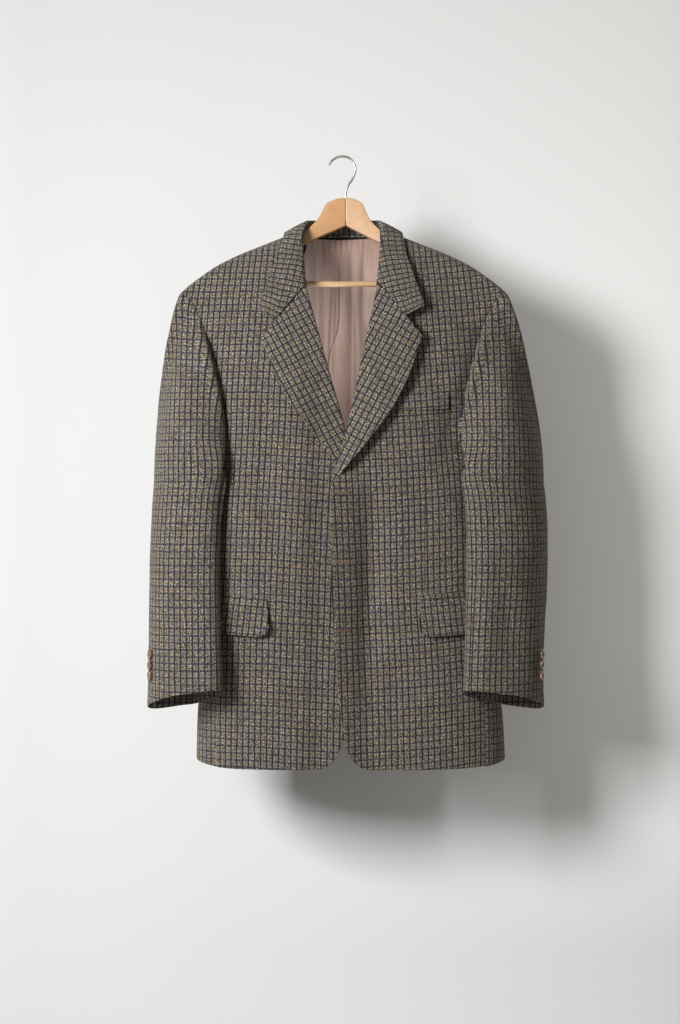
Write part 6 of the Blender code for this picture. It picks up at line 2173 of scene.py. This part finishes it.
def model_bar(material):
    """The round trouser bar, with eased ends."""
    bpy.ops.object.select_all(action="DESELECT")
    bpy.ops.mesh.primitive_cylinder_add(
        vertices=ROD_SIDES, radius=BAR_RADIUS, depth=2.0 * BAR_HALF, location=(0.0, BAR_DEPTH, BAR_HEIGHT),
        rotation=(0.0, math.pi / 2.0, 0.0),
    )
    made = start_piece("wood_hanger_bar")
    bpy.ops.object.transform_apply(location=True, rotation=True)
    apply_bevel(made, BAR_RADIUS * 0.2, 2)
    bpy.ops.object.shade_smooth_by_angle(angle=math.radians(35.0))
    made.data.materials.append(material)
    return made


HOOK_FINE_STEPS = 90


def model_hook(material):
    """The wire hook: a round wire bent along its route, with rounded ends."""
    route = np.array(HOOK_ROUTE)
    length = np.concatenate([[0.0], np.cumsum(np.linalg.norm(np.diff(route, axis=0), axis=1))])
    Station = namedtuple("Station", "at x z")
    stations = tuple(Station(at, x, z) for at, (x, z) in zip(length, route))
    reach = np.linspace(0.0, length[-1], HOOK_FINE_STEPS + 1)
    wire = bpy.data.curves.new("wire_hanger_hook", "CURVE")
    wire.dimensions = "3D"
    wire.bevel_depth = HOOK_RADIUS
    wire.bevel_resolution = 4
    wire.use_fill_caps = True
    line = wire.splines.new("POLY")
    line.points.add(len(reach) - 1)
    for point, x, z in zip(line.points, along(stations, "x", reach), along(stations, "z", reach)):
        point.co = (x, 0.0, z, 1.0)
    bent = bpy.data.objects.new("wire_hanger_hook", wire)
    bpy.context.scene.collection.objects.link(bent)
    bpy.ops.object.select_all(action="DESELECT")
    bent.select_set(True)
    bpy.context.view_layer.objects.active = bent
    bpy.ops.object.convert(target="MESH")
    made = start_piece("wire_hanger_hook")
    made.data.materials.clear()
    made.data.materials.append(material)
    bpy.ops.object.mode_set(mode="EDIT")
    bpy.ops.mesh.select_all(action="SELECT")
    bpy.ops.mesh.remove_doubles(threshold=0.00001)
    bpy.ops.mesh.normals_make_consistent(inside=False)
    bpy.ops.object.mode_set(mode="OBJECT")
    apply_bevel(made, HOOK_RADIUS * 0.75, 5)
    bpy.ops.object.shade_smooth_by_angle(angle=math.radians(60.0))
    return made


FLOOR_HEIGHT = -1.50
WALL_DEPTH = 0.180
WALL_TOP = 3.0
STAGE_HALF = 5.0
STAGE_FRONT = -5.0
COVE = 0.12
KEY_PLACE = (-1.38, -1.75, 0.13)
KEY_SIZE = 0.70
NECK_PLACE = (-0.008, -0.054, -0.285)
NECK_AIM = (-0.030, 0.060, -0.300)
NECK_SIZE = (0.026, 0.130)
LIGHT_AIM = (0.0, 0.0, -0.45)
WORLD_STRENGTH = 0.32
WORLD_COLOUR = (1.0, 0.950, 0.880, 1.0)


def build_stage(scene):
    """Pale floor and wall in one curved sheet, soft lights, and the camera."""
    settings = scene.blazer_stage
    bpy.ops.object.select_all(action="DESELECT")
    bpy.ops.mesh.primitive_plane_add(size=2.0)
    floor = start_piece("stage_backdrop")
    floor.scale = (STAGE_HALF, (WALL_DEPTH - STAGE_FRONT) / 2.0, 1.0)
    floor.location = (0.0, (WALL_DEPTH + STAGE_FRONT) / 2.0, FLOOR_HEIGHT)
    bpy.ops.object.transform_apply(location=True, scale=True)
    bpy.ops.object.mode_set(mode="EDIT")
    shape = bmesh.from_edit_mesh(floor.data)
    shape.select_mode = {"EDGE"}
    for edge in shape.edges:
        edge.select_set(all(vertex.co.y > WALL_DEPTH - 0.001 for vertex in edge.verts))
    bmesh.update_edit_mesh(floor.data)
    bpy.ops.mesh.extrude_region_move(TRANSFORM_OT_translate={"value": (0.0, 0.0, WALL_TOP - FLOOR_HEIGHT)})
    select_faces(floor, lambda face: face.normal.y > 0.5 or face.normal.z < -0.5)
    bpy.ops.mesh.flip_normals()
    bpy.ops.object.mode_set(mode="OBJECT")
    apply_bevel(floor, COVE, 16)
    bpy.ops.object.shade_smooth()
    floor.data.materials.append(backdrop_material(settings))
    add_light("key_light", settings.key_power, (KEY_SIZE, KEY_SIZE), KEY_PLACE, LIGHT_AIM)
    add_light("neck_light", settings.neck_power, NECK_SIZE, NECK_PLACE, NECK_AIM)
    world = bpy.data.worlds.new("studio")
    world.use_nodes = True
    sky = world.node_tree.nodes["Background"]
    sky.inputs["Color"].default_value = WORLD_COLOUR
    sky.inputs["Strength"].default_value = WORLD_STRENGTH
    scene.world = world
    scene.view_settings.view_transform = "Standard"
    lens = bpy.data.cameras.new("camera")
    lens.lens = CAMERA_LENS
    camera = bpy.data.objects.new("camera", lens)
    camera.location = (CAMERA_X, -CAMERA_AWAY, CAMERA_Z)
    camera.rotation_euler = (math.pi / 2.0, 0.0, 0.0)
    scene.collection.objects.link(camera)
    scene.camera = camera


def add_light(name, power, size, place, aim):
    lamp = bpy.data.lights.new(name, "AREA")
    lamp.energy = power
    lamp.shape = "RECTANGLE"
    lamp.size, lamp.size_y = size
    made = bpy.data.objects.new(name, lamp)
    made.location = place
    made.rotation_euler = (Vector(aim) - Vector(place)).to_track_quat("-Z", "Y").to_euler()
    made.visible_camera = False
    bpy.context.scene.collection.objects.link(made)


class BLAZER_OT_body(bpy.types.Operator):
    """Adds the fronts, side panels and backs"""

    bl_idname = "blazer.body"
    bl_label = "Fronts, sides and backs"

    def execute(self, context):
        build_body(context.scene)
        return {"FINISHED"}


class BLAZER_OT_sleeves(bpy.types.Operator):
    """Adds the two-piece sleeves"""

    bl_idname = "blazer.sleeves"
    bl_label = "Sleeves"

    def execute(self, context):
        build_sleeves(context.scene)
        return {"FINISHED"}


class BLAZER_OT_lapels(bpy.types.Operator):
    """Adds the lapels"""

    bl_idname = "blazer.lapels"
    bl_label = "Lapels"

    def execute(self, context):
        build_lapels(context.scene)
        return {"FINISHED"}


class BLAZER_OT_collar(bpy.types.Operator):
    """Adds the collar"""

    bl_idname = "blazer.collar"
    bl_label = "Collar"

    def execute(self, context):
        build_collar(context.scene)
        return {"FINISHED"}


class BLAZER_OT_pockets(bpy.types.Operator):
    """Adds the pocket flaps, their jets and the breast welt"""

    bl_idname = "blazer.pockets"
    bl_label = "Pockets"

    def execute(self, context):
        build_pockets(context.scene)
        return {"FINISHED"}


class BLAZER_OT_lining(bpy.types.Operator):
    """Adds the back lining"""

    bl_idname = "blazer.lining"
    bl_label = "Lining"

    def execute(self, context):
        build_lining(context.scene)
        return {"FINISHED"}


class BLAZER_OT_buttonholes(bpy.types.Operator):
    """Adds the worked buttonholes"""

    bl_idname = "blazer.buttonholes"
    bl_label = "Buttonholes"

    def execute(self, context):
        build_buttonholes(context.scene)
        return {"FINISHED"}


class BLAZER_OT_buttons(bpy.types.Operator):
    """Adds the horn buttons"""

    bl_idname = "blazer.buttons"
    bl_label = "Buttons"

    def execute(self, context):
        build_buttons(context.scene)
        return {"FINISHED"}


class BLAZER_OT_hanger(bpy.types.Operator):
    """Adds the wooden hanger and its wire hook"""

    bl_idname = "blazer.hanger"
    bl_label = "Hanger"

    def execute(self, context):
        build_hanger(context.scene)
        return {"FINISHED"}


class BLAZER_OT_stage(bpy.types.Operator):
    """Adds the backdrop, the lights and the camera"""

    bl_idname = "blazer.stage"
    bl_label = "Stage"

    def execute(self, context):
        build_stage(context.scene)
        return {"FINISHED"}


OPERATORS = (
    BLAZER_OT_body,
    BLAZER_OT_sleeves,
    BLAZER_OT_lapels,
    BLAZER_OT_collar,
    BLAZER_OT_pockets,
    BLAZER_OT_lining,
    BLAZER_OT_buttonholes,
    BLAZER_OT_buttons,
    BLAZER_OT_hanger,
    BLAZER_OT_stage,
)


class BLAZER_PT_panel(bpy.types.Panel):
    """Lists the blazer's settings and the steps that build it"""

    bl_idname = "BLAZER_PT_panel"
    bl_label = "Blazer"
    bl_space_type = "VIEW_3D"
    bl_region_type = "UI"
    bl_category = "Blazer"

    def draw(self, context):
        for name in SETTINGS:
            group = getattr(context.scene, name)
            for setting in group.bl_rna.properties:
                if setting.identifier not in ("rna_type", "name"):
                    self.layout.prop(group, setting.identifier)
        for operator in OPERATORS:
            self.layout.operator(operator.bl_idname)


SETTINGS = {
    "blazer_wool": WoolSettings,
    "blazer_trim": TrimSettings,
    "blazer_hanger": HangerSettings,
    "blazer_stage": StageSettings,
}


def register():
    for made in (*SETTINGS.values(), *OPERATORS, BLAZER_PT_panel):
        bpy.utils.register_class(made)
    for name, group in SETTINGS.items():
        setattr(bpy.types.Scene, name, bpy.props.PointerProperty(type=group))


def unregister():
    for name in SETTINGS:
        delattr(bpy.types.Scene, name)
    for made in reversed((*SETTINGS.values(), *OPERATORS, BLAZER_PT_panel)):
        bpy.utils.unregister_class(made)


def main():
    register()
    for operator in OPERATORS:
        area, name = operator.bl_idname.split(".")
        getattr(getattr(bpy.ops, area), name)()


if __name__ == "__main__":
    main()
